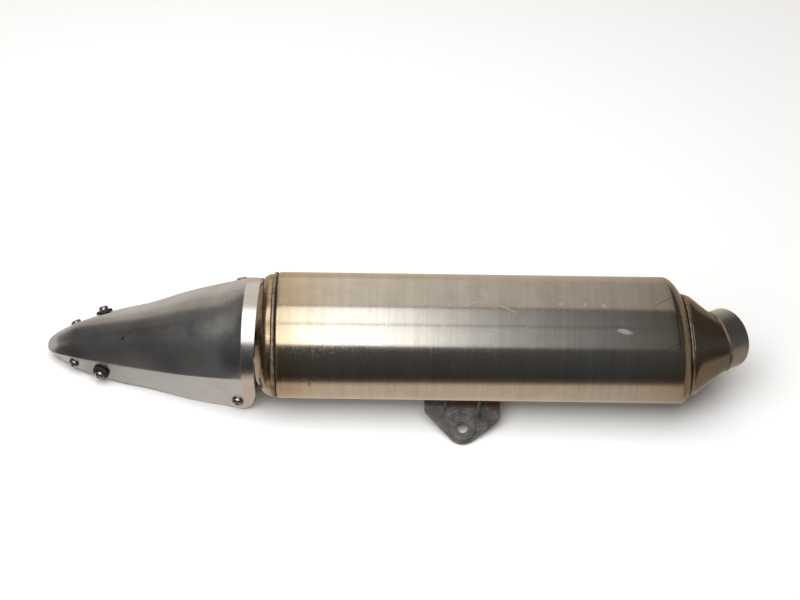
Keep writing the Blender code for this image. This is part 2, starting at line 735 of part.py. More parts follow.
def hanger_plate(kit):
    path = hanger_path()
    start = PLATE_X[0] - 4 * MM
    end = PLATE_X[1] + 4 * MM
    rows = [[Vector((x, y, z)) for y, z in path] for x in (start, end)]
    made = loft(kit, "hanger_plate", rows, kit.hanger, closed=False)
    thicken(made, PLATE_WALL, -1)
    cut(made, outline_prism(kit), "INTERSECT")
    hole = HOLE_CENTRE + Z_AXIS * PLATE_FRONT
    cut(made, kit.add_cutter("hanger_hole", BOSS_NECK + GAP, 20 * MM, hole, Z_AXIS))


def hanger_boss(kit):
    face = PLATE_FRONT + GAP
    back = PLATE_FRONT - PLATE_WALL - 0.5 * MM
    profile = [(HOLE_RADIUS, face + BOSS_RISE), (BOSS_RADIUS - 0.6 * MM, face + BOSS_RISE),
               (BOSS_RADIUS, face + BOSS_RISE - 0.6 * MM), (BOSS_RADIUS, face), (BOSS_NECK, face),
               (BOSS_NECK, back), (HOLE_RADIUS, back)]
    turned(kit, "hanger_boss", profile, kit.hanger, True, 32, HOLE_CENTRE, Z_AXIS)


def hanger_gussets(kit):
    """Thin triangles in the corner between the can and the plate."""
    face = PLATE_FRONT + GAP
    for end, x in GUSSET_X.items():
        corners = [(-60.4 * MM, -5 * MM), (GUSSET_REACH[end], face), (-61.8 * MM, face)]
        name = f"hanger_gusset_{end}"
        shape = bmesh.new()
        points = [shape.verts.new((x - GUSSET_WALL / 2, y, z)) for y, z in corners]
        shape.faces.new(points)
        mesh = bpy.data.meshes.new(name)
        shape.to_mesh(mesh)
        shape.free()
        made = kit.add(name, mesh, kit.hanger)
        thicken(made, GUSSET_WALL, 1)


def hanger_weld(kit):
    """The weld along the foot's free edge, behind the can."""
    radius = 1.5 * MM
    lean = FOOT_ANGLE + (radius + GAP) / CAN_RADIUS + 0.005
    distance = CAN_RADIUS + radius + GAP
    centre = Vector((PLATE_X[0] + 2 * MM, -distance * math.cos(lean), -distance * math.sin(lean)))
    profile = [(0, PLATE_X[1] - PLATE_X[0] - 4 * MM), (radius, PLATE_X[1] - PLATE_X[0] - 4 * MM),
               (radius, 0), (0, 0)]
    turned(kit, "hanger_weld_bead", profile, kit.weld, False, 10, centre)


# --- the whole muffler ---------------------------------------------------------------------------

def rest_on_floor(kit):
    """Move the muffler so that the origin is the middle of its box, at the floor."""
    bpy.context.view_layer.update()
    view = bpy.context.evaluated_depsgraph_get()
    corners = []
    for item in kit.parts.objects:
        if item.type == "MESH":
            mesh = item.evaluated_get(view).data
            corners += [item.matrix_world @ vertex.co for vertex in mesh.vertices]
    low = Vector([min(point[axis] for point in corners) for axis in range(3)])
    high = Vector([max(point[axis] for point in corners) for axis in range(3)])
    kit.root.location = -Vector(((low.x + high.x) / 2, (low.y + high.y) / 2, low.z))


def build():
    clear_scene()
    kit = Kit()
    can_shell(kit)
    inlet_cone(kit)
    inlet_pipe(kit)
    rear_bulkhead(kit)
    weld_beads(kit)
    internals(kit)
    tailpipe(kit)
    cover_shell(kit)
    cover_fasteners(kit)
    cover_brackets(kit)
    hanger_plate(kit)
    hanger_boss(kit)
    hanger_gussets(kit)
    hanger_weld(kit)
    rest_on_floor(kit)


build()
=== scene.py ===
"""Exhaust muffler: the finished look of every piece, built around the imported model.

Each piece is drawn in the muffler's own frame, where X runs along the can to the inlet, Z points out of the
cover's face and -Y points to the hanger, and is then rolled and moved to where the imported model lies.
"""

import math

import bmesh
import bpy
from bpy.props import FloatProperty, FloatVectorProperty, PointerProperty
from mathutils import Matrix, Vector


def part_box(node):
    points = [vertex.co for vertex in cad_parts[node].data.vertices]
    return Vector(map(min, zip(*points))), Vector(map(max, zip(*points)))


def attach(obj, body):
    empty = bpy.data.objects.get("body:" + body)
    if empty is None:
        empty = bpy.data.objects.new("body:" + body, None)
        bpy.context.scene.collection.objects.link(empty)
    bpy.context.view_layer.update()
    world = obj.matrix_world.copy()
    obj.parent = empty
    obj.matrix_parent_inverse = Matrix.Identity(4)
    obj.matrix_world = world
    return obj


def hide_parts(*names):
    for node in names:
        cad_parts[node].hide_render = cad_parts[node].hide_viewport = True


bl_info = {
    "name": "Exhaust Muffler",
    "version": (1, 0, 0),
    "blender": (4, 5, 0),
    "location": "3D Viewport > Sidebar > Muffler",
    "description": "Builds a round steel exhaust muffler with its inlet, hanger and outlet cover",
    "category": "Object",
}

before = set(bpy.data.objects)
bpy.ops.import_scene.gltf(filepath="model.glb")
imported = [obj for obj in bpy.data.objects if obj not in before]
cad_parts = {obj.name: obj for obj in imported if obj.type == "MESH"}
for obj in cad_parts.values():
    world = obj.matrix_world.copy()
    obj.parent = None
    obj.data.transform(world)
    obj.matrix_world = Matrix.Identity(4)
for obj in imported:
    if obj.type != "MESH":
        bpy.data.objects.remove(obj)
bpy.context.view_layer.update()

MM = 0.001
X_AXIS = Vector((1, 0, 0))
Y_AXIS = Vector((0, 1, 0))
Z_AXIS = Vector((0, 0, 1))
ROLL = math.radians(25.2)
REAR_BEAD_X = -117.7 * MM
SEAM_CENTRE = Vector((271.6, -4.2, -1.1)) * MM
SEAM_TILT = math.radians(5.3)
TILT_DIRECTION = Vector((0, math.cos(math.radians(15)), math.sin(math.radians(15))))
SEAM_NORMAL = X_AXIS * math.cos(SEAM_TILT) + TILT_DIRECTION * math.sin(SEAM_TILT)
MITRE_CENTRE = Vector((301.1, 0.4, -4.2)) * MM
MITRE_NORMAL = Vector((0.917, 0.356, -0.181)).normalized()
PIPE_DIRECTION = Vector((0.780, 0.398, -0.483)).normalized()
OUTLET_Z = -28 * MM
BULKHEAD_FACE = -135 * MM
PLATE_FRONT = -16.5 * MM
# Radius, x and easing in mm, from the rim over the dome to the flat face
BULKHEAD_PROFILE = ((58, -119.9, 0), (57.9, -123.4, 1.4), (56.1, -127.4, 2.2), (52.4, -130.6, 2.2),
                    (48.2, -133.4, 1.5), (45.6, -135, 1.2), (0, -135, 0))
SIDES = {"upper": 1, "lower": -1}

# Outlet cover: x, crown height, crease height, crease half width, edge height, edge half width, in mm
COVER_RIM = (
    (-133.4, 57, 20.5, 50.4, -8, 57.6),
    (-136.5, 57, 20.5, 50.5, -22, 61.1),
    (-141, 57, 20.5, 50.6, -31.5, 63.5),
    (-146, 57, 20.5, 50.6, -34, 64.2),
)
COVER_SLOPE = (
    (-146, 57, 20.5, 50.6, -34, 64.2),
    (-150, 54.9, 19.2, 49.6, -35.3, 64),
    (-200, 34, 4, 42, -39.5, 54.8),
    (-238, 17, -10, 34, -42.5, 44.2),
    (-279, -3, -19.2, 25.3, -45.2, 35),
    (-312, -20, -28.8, 17.8, -48, 23.8),
    (-331, -34.5, -40, 12, -50, 12.6),
    (-338.5, -42, -44.6, 8.4, -50.4, 8.6),
    (-342.2, -46, -47.2, 5.2, -50.6, 5.3),
    (-343.6, -48, -48.6, 2.8, -50.6, 2.9),
)
CROWN_BLEND = 20
CROWN_STEPS = 22
CREASE_STEPS = 5
WALL_STEPS = 8
NOSE_WALL = 1.9 * MM
RIM_SKEW = 0.05
RIM_SKEW_END = -160

# Cover fasteners, in mm: station, height, head radius and height, seat, shank length and nut depth
FASTENERS = {
    "can_end": {"x": -154, "z": -22.5, "head": 5.8, "height": 3.2, "seat": 0.4, "shank": 12,
                "nut": 4.8, "nut_height": 5},
    "middle": {"x": -288, "z": -36.5, "head": 4.9, "height": 3.6, "seat": 3.9, "shank": 17,
               "nut": 6.8, "nut_height": 5},
    "nose": {"x": -316, "z": -41.5, "head": 5.2, "height": 2.8, "seat": 0.4, "shank": 10,
             "nut": 5, "nut_height": 4},
}


def rest_matrix():
    """From the muffler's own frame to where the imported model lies, centred on its rear weld."""
    low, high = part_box("rear_weld_bead")
    middle = (low + high) / 2
    place = Vector((middle.x - REAR_BEAD_X, middle.y, middle.z))
    return Matrix.Translation(place) @ Matrix.Rotation(ROLL, 4, "X")


REST = rest_matrix()


# --- sizes and colours ---------------------------------------------------------------------------

def length(name, description, default):
    return FloatProperty(name=name, description=description, default=default * MM, min=0,
                         unit="LENGTH", subtype="DISTANCE")


def colour(name, description, default):
    return FloatVectorProperty(name=name, description=description, default=default, min=0, max=1,
                               size=3, subtype="COLOR")


class CanSizes(bpy.types.PropertyGroup):
    radius: length("Can radius", "Outside radius of the round can", 60)
    wall: length("Can wall", "Thickness of the can's sheet", 1.2)
    seam_radius: length("Seam radius", "Radius of the can's mouth at the front weld", 48)
    seam_bead: length("Front bead", "Radius of the front weld bead", 1.5)
    rear_bead: length("Rear bead", "Radius of the rear weld bead", 1.9)
    pipe_radius: length("Pipe radius", "Outside radius of the inlet pipe", 29)
    pipe_wall: length("Pipe wall", "Thickness of the inlet pipe", 1.6)
    pipe_length: length("Pipe length", "Length of the inlet pipe past the mitre", 14.9)
    mitre_bead: length("Mitre bead", "Radius of the weld bead round the mitre", 1.3)
    outlet_radius: length("Outlet radius", "Outside radius of the tailpipe", 20)
    outlet_wall: length("Outlet wall", "Thickness of the tailpipe", 1.5)


class CoverSizes(bpy.types.PropertyGroup):
    wall: length("Cover wall", "Thickness of the cover's sheet", 1.6)
    crease: length("Crease", "Reach of the rounded crease between crown and wall", 1.5)
    nut_radius: length("Nut radius", "Distance from a nut's middle to its corners", 5.77)
    shank_radius: length("Shank radius", "Radius of the screws", 3)
    strap: length("Strap", "Rounding of the bracket straps' edges", 0.35)


class HangerSizes(bpy.types.PropertyGroup):
    wall: length("Plate wall", "Thickness of the hanger's sheet", 3)
    bend: length("Bend", "Inside radius of the hanger's bend", 9)
    tip: length("Tip radius", "Radius of the rounded tip round the bolt hole", 15)
    hole: length("Bolt hole", "Radius of the bolt hole", 5.2)
    boss: length("Boss radius", "Radius of the raised boss round the bolt hole", 13)


class FinishColours(bpy.types.PropertyGroup):
    steel: colour("Brushed steel", "Colour of the can's stainless steel", (0.64, 0.62, 0.585))
    alloy: colour("Aluminium", "Colour of the polished outlet cover", (0.72, 0.71, 0.70))
    weld: colour("Weld", "Colour of the weld beads", (0.40, 0.35, 0.30))
    hanger: colour("Hanger steel", "Colour of the plain steel hanger", (0.15, 0.147, 0.145))
    rubber: colour("Rubber", "Colour of the cover's grommets", (0.012, 0.012, 0.013))
    wool: colour("Glass wool", "Colour of the can's lining", (0.80, 0.74, 0.58))
    floor: colour("Floor", "Colour of the studio floor", (0.90, 0.90, 0.90))


PROPERTY_GROUPS = (CanSizes, CoverSizes, HangerSizes, FinishColours)


def can_sizes():
    return bpy.context.scene.muffler_can


def cover_sizes():
    return bpy.context.scene.muffler_cover


def hanger_sizes():
    return bpy.context.scene.muffler_hanger


def tint(name):
    return (*getattr(bpy.context.scene.muffler_colours, name), 1)


# --- shader nodes --------------------------------------------------------------------------------

def add(tree, kind, inputs=None, **settings):
    """A node with its settings and inputs; an input is a socket to link or a value."""
    made = tree.nodes.new(kind)
    for key, value in settings.items():
        setattr(made, key, value)
    for key, value in (inputs or {}).items():
        if isinstance(value, bpy.types.NodeSocket):
            tree.links.new(value, made.inputs[key])
        else:
            made.inputs[key].default_value = value
    return made


def calc(tree, operation, first, second=0.0, clamp=False):
    return add(tree, "ShaderNodeMath", {0: first, 1: second}, operation=operation,
               use_clamp=clamp).outputs[0]


def times(tree, first, second):
    return calc(tree, "MULTIPLY", first, second)


def plus(tree, first, second, clamp=False):
    return calc(tree, "ADD", first, second, clamp)


def slope(tree, value, low, high, to_low=0.0, to_high=1.0, kind="LINEAR"):
    """A value moved straight from one range to another, and held at the ends."""
    return add(tree, "ShaderNodeMapRange", {"Value": value, "From Min": low, "From Max": high,
                                            "To Min": to_low, "To Max": to_high},
               interpolation_type=kind).outputs[0]


def span(tree, value, low, high, to_low=0.0, to_high=1.0):
    """A value eased from one range to another, and held at the ends."""
    return slope(tree, value, low, high, to_low, to_high, "SMOOTHSTEP")


def mix(tree, share, first, second, blend="MIX"):
    made = add(tree, "ShaderNodeMix", {0: share, 6: first, 7: second}, data_type="RGBA",
               blend_type=blend)
    return made.outputs[2]


def layer(tree, base, mask, amount, shade):
    """The base with a layer of another colour over it, as thick as the mask says."""
    return mix(tree, times(tree, mask, amount), base, (*shade, 1))


def scale_colour(tree, first, second):
    return mix(tree, 1.0, first, second, "MULTIPLY")


def ramp(tree, value, stops):
    """A colour ramp of (place, colour) stops, read at a value."""
    made = add(tree, "ShaderNodeValToRGB", {"Fac": value})
    points = made.color_ramp.elements
    while len(points) < len(stops):
        points.new(0.5)
    for point, (place, shade) in zip(points, stops):
        point.position = place
        point.color = (*shade, 1)
    return made.outputs["Color"]


def grey_ramp(tree, value, stops):
    return ramp(tree, value, [(place, (level, level, level)) for place, level in stops])


def noise(tree, vector, scale, detail=3.0, roughness=0.5):
    return add(tree, "ShaderNodeTexNoise", {"Vector": vector, "Scale": scale, "Detail": detail,
                                            "Roughness": roughness}).outputs["Fac"]


def stretch(tree, vector, scale, turn=(0, 0, 0), place=(0, 0, 0)):
    return add(tree, "ShaderNodeMapping", {"Vector": vector, "Scale": scale, "Rotation": turn,
                                           "Location": place}).outputs[0]


def effect(name, inputs, outputs, build):
    """A node group built once: inputs are (name, kind, default), outputs are (name, kind)."""
    found = bpy.data.node_groups.get(name)
    if found:
        return found
    tree = bpy.data.node_groups.new(name, "ShaderNodeTree")
    for label, kind, default in inputs:
        socket = tree.interface.new_socket(label, in_out="INPUT", socket_type="NodeSocket" + kind)
        if kind != "Vector":
            socket.default_value = default
    for label, kind in outputs:
        tree.interface.new_socket(label, in_out="OUTPUT", socket_type="NodeSocket" + kind)
    start = tree.nodes.new("NodeGroupInput")
    end = tree.nodes.new("NodeGroupOutput")
    for label, socket in build(tree, start.outputs).items():
        tree.links.new(socket, end.inputs[label])
    return tree


def use(tree, group, inputs):
    return add(tree, "ShaderNodeGroup", inputs, node_tree=group).outputs


def brushing():
    """Fine lines that run round the X axis, with broad bands of lighter and darker metal."""
    def build(tree, given):
        fine = noise(tree, stretch(tree, given["Vector"], (900, 9, 9)), 1.0, 4.0, 0.65)
        bands = noise(tree, stretch(tree, given["Vector"], (150, 5, 5)), 1.0, 3.0, 0.6)
        cloud = noise(tree, given["Vector"], 26.0, 4.0, 0.6)
        return {"Lines": fine, "Bands": bands, "Cloud": cloud}
    return effect("brushing", [("Vector", "Vector", None)],
                  [("Lines", "Float"), ("Bands", "Float"), ("Cloud", "Float")], build)


def scratches():
    """Sparse thin scratches: cell edges of a stretched pattern, broken up by a broad noise."""
    def build(tree, given):
        strokes = None
        for turn, shape in ((0.5, (60, 300, 60)), (1.2, (90, 40, 330)), (2.2, (240, 70, 90))):
            bent = stretch(tree, given["Vector"], shape, (turn, turn * 0.7, turn * 1.3))
            cells = add(tree, "ShaderNodeTexVoronoi", {"Vector": bent, "Scale": 1.0},
                        feature="DISTANCE_TO_EDGE").outputs["Distance"]
            line = span(tree, cells, 0.0, 0.02, 1.0, 0.0)
            patch = noise(tree, stretch(tree, given["Vector"], (1, 1, 1), place=(turn, 0, turn)), 38.0)
            shown = times(tree, line, span(tree, patch, 0.6, 0.68))
            strokes = shown if strokes is None else calc(tree, "MAXIMUM", strokes, shown)
        return {"Mask": times(tree, strokes, given["Amount"])}
    return effect("scratches", [("Vector", "Vector", None), ("Amount", "Float", 1.0)],
                  [("Mask", "Float")], build)


def grime():
    """Patches of dirt and stain, and small dark pits."""
    def build(tree, given):
        broad = noise(tree, given["Vector"], 45.0, 6.0, 0.65)
        fine = noise(tree, given["Vector"], 420.0, 4.0, 0.7)
        pits = add(tree, "ShaderNodeTexVoronoi", {"Vector": given["Vector"], "Scale": 520.0},
                   feature="F1").outputs["Distance"]
        return {"Patches": span(tree, broad, 0.42, 0.66), "Grain": fine,
                "Pits": span(tree, pits, 0.12, 0.34, 1.0, 0.0)}
    return effect("grime", [("Vector", "Vector", None)],
                  [("Patches", "Float"), ("Grain", "Float"), ("Pits", "Float")], build)


def local_mark():
    """A soft-edged, broken mark round one place."""
    def build(tree, given):
        gap = add(tree, "ShaderNodeVectorMath", {0: given["Vector"], 1: given["Place"]},
                  operation="SUBTRACT").outputs[0]
        turned = add(tree, "ShaderNodeVectorRotate", {"Vector": gap, "Angle": given["Turn"]},
                     rotation_type="AXIS_ANGLE").outputs[0]
        scaled = add(tree, "ShaderNodeVectorMath", {0: turned, 1: given["Reach"]},
                     operation="DIVIDE").outputs[0]
        distance = add(tree, "ShaderNodeVectorMath", {0: scaled}, operation="LENGTH").outputs["Value"]
        ragged = noise(tree, given["Vector"], 700.0, 4.0, 0.7)
        rough = plus(tree, distance, times(tree, ragged, 0.9))
        return {"Mask": span(tree, rough, 1.0, 1.35, 1.0, 0.0)}
    return effect("local_mark", [("Vector", "Vector", None), ("Place", "Vector", None),
                                 ("Reach", "Vector", None), ("Turn", "Float", 0.0)],
                  [("Mask", "Float")], build)


def own_frame(tree):
    """Object coordinates turned back into the muffler's own frame."""
    source = add(tree, "ShaderNodeTexCoord").outputs["Object"]
    return add(tree, "ShaderNodeMapping", {"Vector": source, "Location": REST.translation,
                                           "Rotation": (ROLL, 0, 0)}, vector_type="TEXTURE").outputs[0]


def new_finish(name, metallic, roughness):
    made = bpy.data.materials.new(name + "_finish")
    made.use_nodes = True
    tree = made.node_tree
    shader = tree.nodes["Principled BSDF"]
    shader.inputs["Metallic"].default_value = metallic
    shader.inputs["Roughness"].default_value = roughness
    return made, tree, shader, own_frame(tree)


def set_surface(tree, shader, base, rough, height, depth):
    """Links colour, roughness and a bump that is depth metres deep."""
    tree.links.new(base, shader.inputs["Base Color"])
    tree.links.new(rough, shader.inputs["Roughness"])
    bump = add(tree, "ShaderNodeBump", {"Height": height, "Distance": depth, "Strength": 1.0})
    tree.links.new(bump.outputs[0], shader.inputs["Normal"])


def mark_masks(tree, place, marks):
    """The joined mask of several local marks, each (place, reach, turn) in mm and degrees."""
    joined = None
    for spot, reach, turn in marks:
        mask = use(tree, local_mark(), {"Vector": place, "Place": Vector(spot) * MM,
                                        "Reach": Vector(reach) * MM, "Turn": math.radians(turn)})["Mask"]
        joined = mask if joined is None else calc(tree, "MAXIMUM", joined, mask)
    return joined


# Marks, in mm and degrees: place in the muffler's own frame, reach along each axis, turn
CAN_SCUFFS = (
    ((207, -8.5, 59.4), (9, 3.2, 8), 12),
    ((66, 17, 57.6), (13, 0.5, 6), -20),
    ((99, 12, 58.8), (11, 0.5, 6), 24),
    ((148, 18, 57), (2.4, 2.0, 6), 0),
    ((171, 18, 57), (1.6, 2.6, 6), 0),
    ((188, 17, 57.5), (4, 1.6, 6), 40),
    ((-18, -3, 60), (9, 0.4, 6), 30),
)
CAN_DARK_MARKS = (
    ((252, -21, 52), (21, 0.6, 9), -24),
    ((243, 22, 54), (24, 0.7, 9), -30),
    ((262, 8, 56), (17, 0.8, 9), -18),
    ((-84, -54, 25), (2.6, 2.6, 6), 0),
    ((88, -19, 57), (1.0, 1.0, 6), 0),
    ((-27, 8, 59.4), (0.9, 0.9, 6), 0),
)


def brushed_steel():
    """Brushed stainless steel with heat colours beside both welds, scratches and scuffs."""
    made, tree, shader, place = new_finish("brushed_steel", 1.0, 0.26)
    along = add(tree, "ShaderNodeSeparateXYZ", {0: place}).outputs["X"]
    brushed = use(tree, brushing(), {"Vector": place})
    ragged = plus(tree, along, times(tree, brushed["Cloud"], 0.02))
    heat = ramp(tree, slope(tree, ragged, -0.118, 0.302), [
        (0.0, (0.66, 0.50, 0.34)), (0.05, (0.86, 0.74, 0.55)), (0.10, (1.0, 0.93, 0.81)),
        (0.19, (1.0, 0.985, 0.96)), (0.80, (1.0, 0.99, 0.97)), (0.89, (0.90, 0.86, 0.78)),
        (0.955, (0.80, 0.68, 0.52)), (1.0, (0.72, 0.62, 0.52))])
    base = scale_colour(tree, tint("steel"), heat)
    base = scale_colour(tree, base, slope(tree, brushed["Bands"], 0.3, 0.7, 0.92, 1.05))
    stains = use(tree, grime(), {"Vector": place})
    base = layer(tree, base, stains["Patches"], 0.16, (0.36, 0.29, 0.21))
    cuts = use(tree, scratches(), {"Vector": place, "Amount": 0.55})["Mask"]
    rough = slope(tree, brushed["Lines"], 0.25, 0.75, 0.13, 0.21)
    base = layer(tree, base, mark_masks(tree, place, CAN_DARK_MARKS), 0.4, (0.09, 0.075, 0.06))
    cuts = calc(tree, "MAXIMUM", cuts, mark_masks(tree, place, CAN_SCUFFS))
    base = layer(tree, base, cuts, 0.75, (0.90, 0.88, 0.85))
    rough = plus(tree, rough, times(tree, cuts, 0.3), clamp=True)
    height = plus(tree, times(tree, brushed["Lines"], 0.5),
                  plus(tree, times(tree, brushed["Bands"], 0.45), times(tree, cuts, -0.6)))
    set_surface(tree, shader, base, rough, height, 0.00001)
    return made


COVER_SCUFFS = (
    ((-158, 29, 42), (8, 1.0, 12), 30),
    ((-164, 36, 36), (7, 0.9, 12), 24),
    ((-152, 34, 40), (4, 2.0, 12), 10),
)
COVER_NICK = (((-263, -7, 6), (2.2, 2.2, 9), 0),)


def polished_aluminium(name="polished_aluminium", marks=True):
    """Polished metal with a soft haze, fine hairlines and stains; the cover also has its scuffs."""
    made, tree, shader, place = new_finish(name, 1.0, 0.24)
    grain = noise(tree, stretch(tree, place, (60, 900, 900)), 1.0, 3.0, 0.6)
    cloud = noise(tree, place, 34.0, 5.0, 0.6)
    stains = use(tree, grime(), {"Vector": place})
    base = scale_colour(tree, tint("alloy"), slope(tree, cloud, 0.3, 0.7, 0.90, 1.06))
    base = layer(tree, base, stains["Patches"], 0.14, (0.42, 0.36, 0.29))
    cuts = use(tree, scratches(), {"Vector": place, "Amount": 0.35})["Mask"]
    if marks:
        cuts = calc(tree, "MAXIMUM", cuts, mark_masks(tree, place, COVER_SCUFFS))
        base = layer(tree, base, mark_masks(tree, place, COVER_NICK), 0.7, (0.05, 0.05, 0.05))
    base = layer(tree, base, cuts, 0.6, (0.86, 0.85, 0.83))
    rough = plus(tree, slope(tree, cloud, 0.25, 0.75, 0.22, 0.30), times(tree, cuts, 0.25), clamp=True)
    height = plus(tree, times(tree, grain, 0.5), times(tree, cuts, -0.6))
    set_surface(tree, shader, base, rough, height, 0.000006)
    return made


def inlet_steel():
    """Plain grey pipe steel, wiped clean and lightly scratched."""
    return polished_aluminium("inlet_steel", False)


def heated_steel():
    """Steel browned by the heat of welding, still shiny, with a few rust spots."""
    made, tree, shader, place = new_finish("heated_steel", 1.0, 0.2)
    dirt = use(tree, grime(), {"Vector": place})
    cloud = noise(tree, place, 48.0, 5.0, 0.62)
    base = ramp(tree, cloud, [(0.30, (0.22, 0.145, 0.085)), (0.45, (0.42, 0.30, 0.18)),
                              (0.60, (0.58, 0.45, 0.30)), (0.75, (0.66, 0.55, 0.40))])
    base = layer(tree, base, dirt["Patches"], 0.35, (0.14, 0.07, 0.035))
    base = layer(tree, base, dirt["Pits"], 0.4, (0.05, 0.03, 0.02))
    rough = slope(tree, dirt["Grain"], 0.3, 0.7, 0.14, 0.32)
    set_surface(tree, shader, base, rough, dirt["Grain"], 0.00003)
    return made


def weld_steel():
    """Weld metal: grey with straw and brown heat colours and darker valleys."""
    made, tree, shader, place = new_finish("weld_steel", 0.9, 0.4)
    cloud = noise(tree, place, 95.0, 4.0, 0.6)
    heat = ramp(tree, cloud, [(0.30, (0.16, 0.11, 0.075)), (0.45, (0.42, 0.31, 0.20)),
                              (0.58, (0.66, 0.58, 0.47)), (0.72, (0.80, 0.76, 0.70))])
    base = mix(tree, 0.35, heat, tint("weld"))
    dirt = use(tree, grime(), {"Vector": place})
    base = layer(tree, base, dirt["Patches"], 0.5, (0.11, 0.075, 0.05))
    rough = slope(tree, dirt["Grain"], 0.3, 0.7, 0.28, 0.52)
    set_surface(tree, shader, base, rough, dirt["Grain"], 0.00018)
    return made


def inner_steel():
    """Heat-browned steel inside the can, with soot and rust."""
    made, tree, shader, place = new_finish("inner_steel", 0.85, 0.45)
    dirt = use(tree, grime(), {"Vector": place})
    cloud = noise(tree, place, 60.0, 5.0, 0.6)
    base = ramp(tree, cloud, [(0.28, (0.17, 0.12, 0.085)), (0.48, (0.36, 0.28, 0.205)),
                              (0.70, (0.50, 0.42, 0.33))])
    base = layer(tree, base, dirt["Patches"], 0.55, (0.20, 0.085, 0.035))
    base = layer(tree, base, dirt["Pits"], 0.5, (0.04, 0.03, 0.025))
    rough = slope(tree, dirt["Grain"], 0.3, 0.7, 0.34, 0.66)
    height = calc(tree, "SUBTRACT", dirt["Grain"], times(tree, dirt["Pits"], 0.5))
    set_surface(tree, shader, base, rough, height, 0.00015)
    return made


# Painted shade and a reddish painted reflection of the can over the hanger's bend, where the plate runs
# under the can
HANGER_CAN_SHADE = [((58, -62, -20), (28, 5, 14), 0), ((90, -63, -18), (9, 6.5, 14), 0)]


def hanger_steel():
    """Matte plain steel, dirty and pitted, with painted shade and a reddish painted reflection of the can
    over its bend, and a rubbed sheen.
    """
    made, tree, shader, place = new_finish("hanger_steel", 0.75, 0.55)
    dirt = use(tree, grime(), {"Vector": place})
    cloud = noise(tree, place, 70.0, 5.0, 0.62)
    base = scale_colour(tree, tint("hanger"), slope(tree, cloud, 0.3, 0.7, 0.62, 1.6))
    base = layer(tree, base, dirt["Patches"], 0.5, (0.115, 0.082, 0.06))
    base = layer(tree, base, dirt["Pits"], 0.6, (0.05, 0.045, 0.04))
    rubbed = use(tree, scratches(), {"Vector": place, "Amount": 0.8})["Mask"]
    base = layer(tree, base, rubbed, 0.6, (0.55, 0.54, 0.52))
    # Painted shade and reddish painted reflection of the can over the bend
    base = layer(tree, base, mark_masks(tree, place, HANGER_CAN_SHADE), 0.75, (0.155, 0.07, 0.058))
    rough = slope(tree, dirt["Grain"], 0.3, 0.7, 0.42, 0.72)
    height = calc(tree, "SUBTRACT", dirt["Grain"], times(tree, dirt["Pits"], 0.9))
    set_surface(tree, shader, base, rough, height, 0.00022)
    return made


def screw_steel():
    """Bright plated screw steel, lightly stained."""
    made, tree, shader, place = new_finish("screw_steel", 1.0, 0.25)
    cloud = noise(tree, place, 240.0, 4.0, 0.6)
    base = ramp(tree, cloud, [(0.30, (0.28, 0.26, 0.24)), (0.55, (0.56, 0.55, 0.53)),
                              (0.75, (0.70, 0.69, 0.67))])
    rough = slope(tree, cloud, 0.3, 0.7, 0.34, 0.18)
    set_surface(tree, shader, base, rough, noise(tree, place, 1500.0, 3.0), 0.00003)
    return made


def black_rubber():
    """Soft black rubber with a dusty bloom."""
    made, tree, shader, place = new_finish("black_rubber", 0.0, 0.6)
    bloom = noise(tree, place, 160.0, 5.0, 0.65)
    base = mix(tree, span(tree, bloom, 0.48, 0.75, 0.0, 0.5), tint("rubber"), (0.07, 0.066, 0.06, 1))
    rough = slope(tree, bloom, 0.3, 0.7, 0.5, 0.74)
    set_surface(tree, shader, base, rough, noise(tree, place, 1800.0, 4.0, 0.7), 0.0001)
    return made


def glass_wool():
    """Matted glass fibre: thin strands that run round the core, with darker gaps."""
    made, tree, shader, place = new_finish("glass_wool", 0.0, 0.95)
    strands = noise(tree, stretch(tree, place, (1400, 160, 160)), 1.0, 6.0, 0.75)
    clumps = noise(tree, place, 120.0, 5.0, 0.65)
    base = mix(tree, span(tree, strands, 0.35, 0.65, 0.6, 0.0), tint("wool"), (0.42, 0.35, 0.23, 1))
    base = mix(tree, span(tree, clumps, 0.5, 0.75, 0.0, 0.5), base, (0.90, 0.86, 0.76, 1))
    height = plus(tree, strands, clumps)
    set_surface(tree, shader, base, slope(tree, clumps, 0.3, 0.7, 0.85, 1.0), height, 0.0008)
    return made


FINISHES = {make.__name__: make for make in (
    brushed_steel, polished_aluminium, inlet_steel, heated_steel, weld_steel, inner_steel,
    hanger_steel, screw_steel, black_rubber, glass_wool)}


def finish(name):
    return bpy.data.materials.get(name + "_finish") or FINISHES[name]()


# --- shaping tools -------------------------------------------------------------------------------

def aim(point, direction, axis="Z", up="Y"):
    """A matrix that moves a shape to a point and turns one of its axes to a direction."""
    return Matrix.Translation(point) @ direction.to_track_quat(axis, up).to_matrix().to_4x4()


def line(shape, points, closed):
    """A row of joined vertices: the vertices and the edges between them."""
    verts = [shape.verts.new(point) for point in points]
    ends = verts[1:] + verts[:1] if closed else verts[1:]
    return verts, [shape.edges.new(pair) for pair in zip(verts, ends)]


def fresh_verts(made):
    return [vert for vert in made if isinstance(vert, bmesh.types.BMVert)]


def show(name, data):
    """Puts mesh, camera or light data in the scene; a bmesh is made a mesh first."""
    if isinstance(data, bmesh.types.BMesh):
        mesh = bpy.data.meshes.new(name)
        data.to_mesh(mesh)
        data.free()
        data = mesh
    made = bpy.data.objects.new(name, data)
    bpy.context.scene.collection.objects.link(made)
    return made


def ring(centre, normal, radius, sides):
    """Points of a circle, counted from the Y side toward the Z side."""
    across = (Y_AXIS - normal * normal.dot(Y_AXIS)).normalized()
    rise = normal.cross(across)
    points = []
    for step in range(sides):
        angle = math.tau * step / sides
        points.append(centre + (across * math.cos(angle) + rise * math.sin(angle)) * radius)
    return points


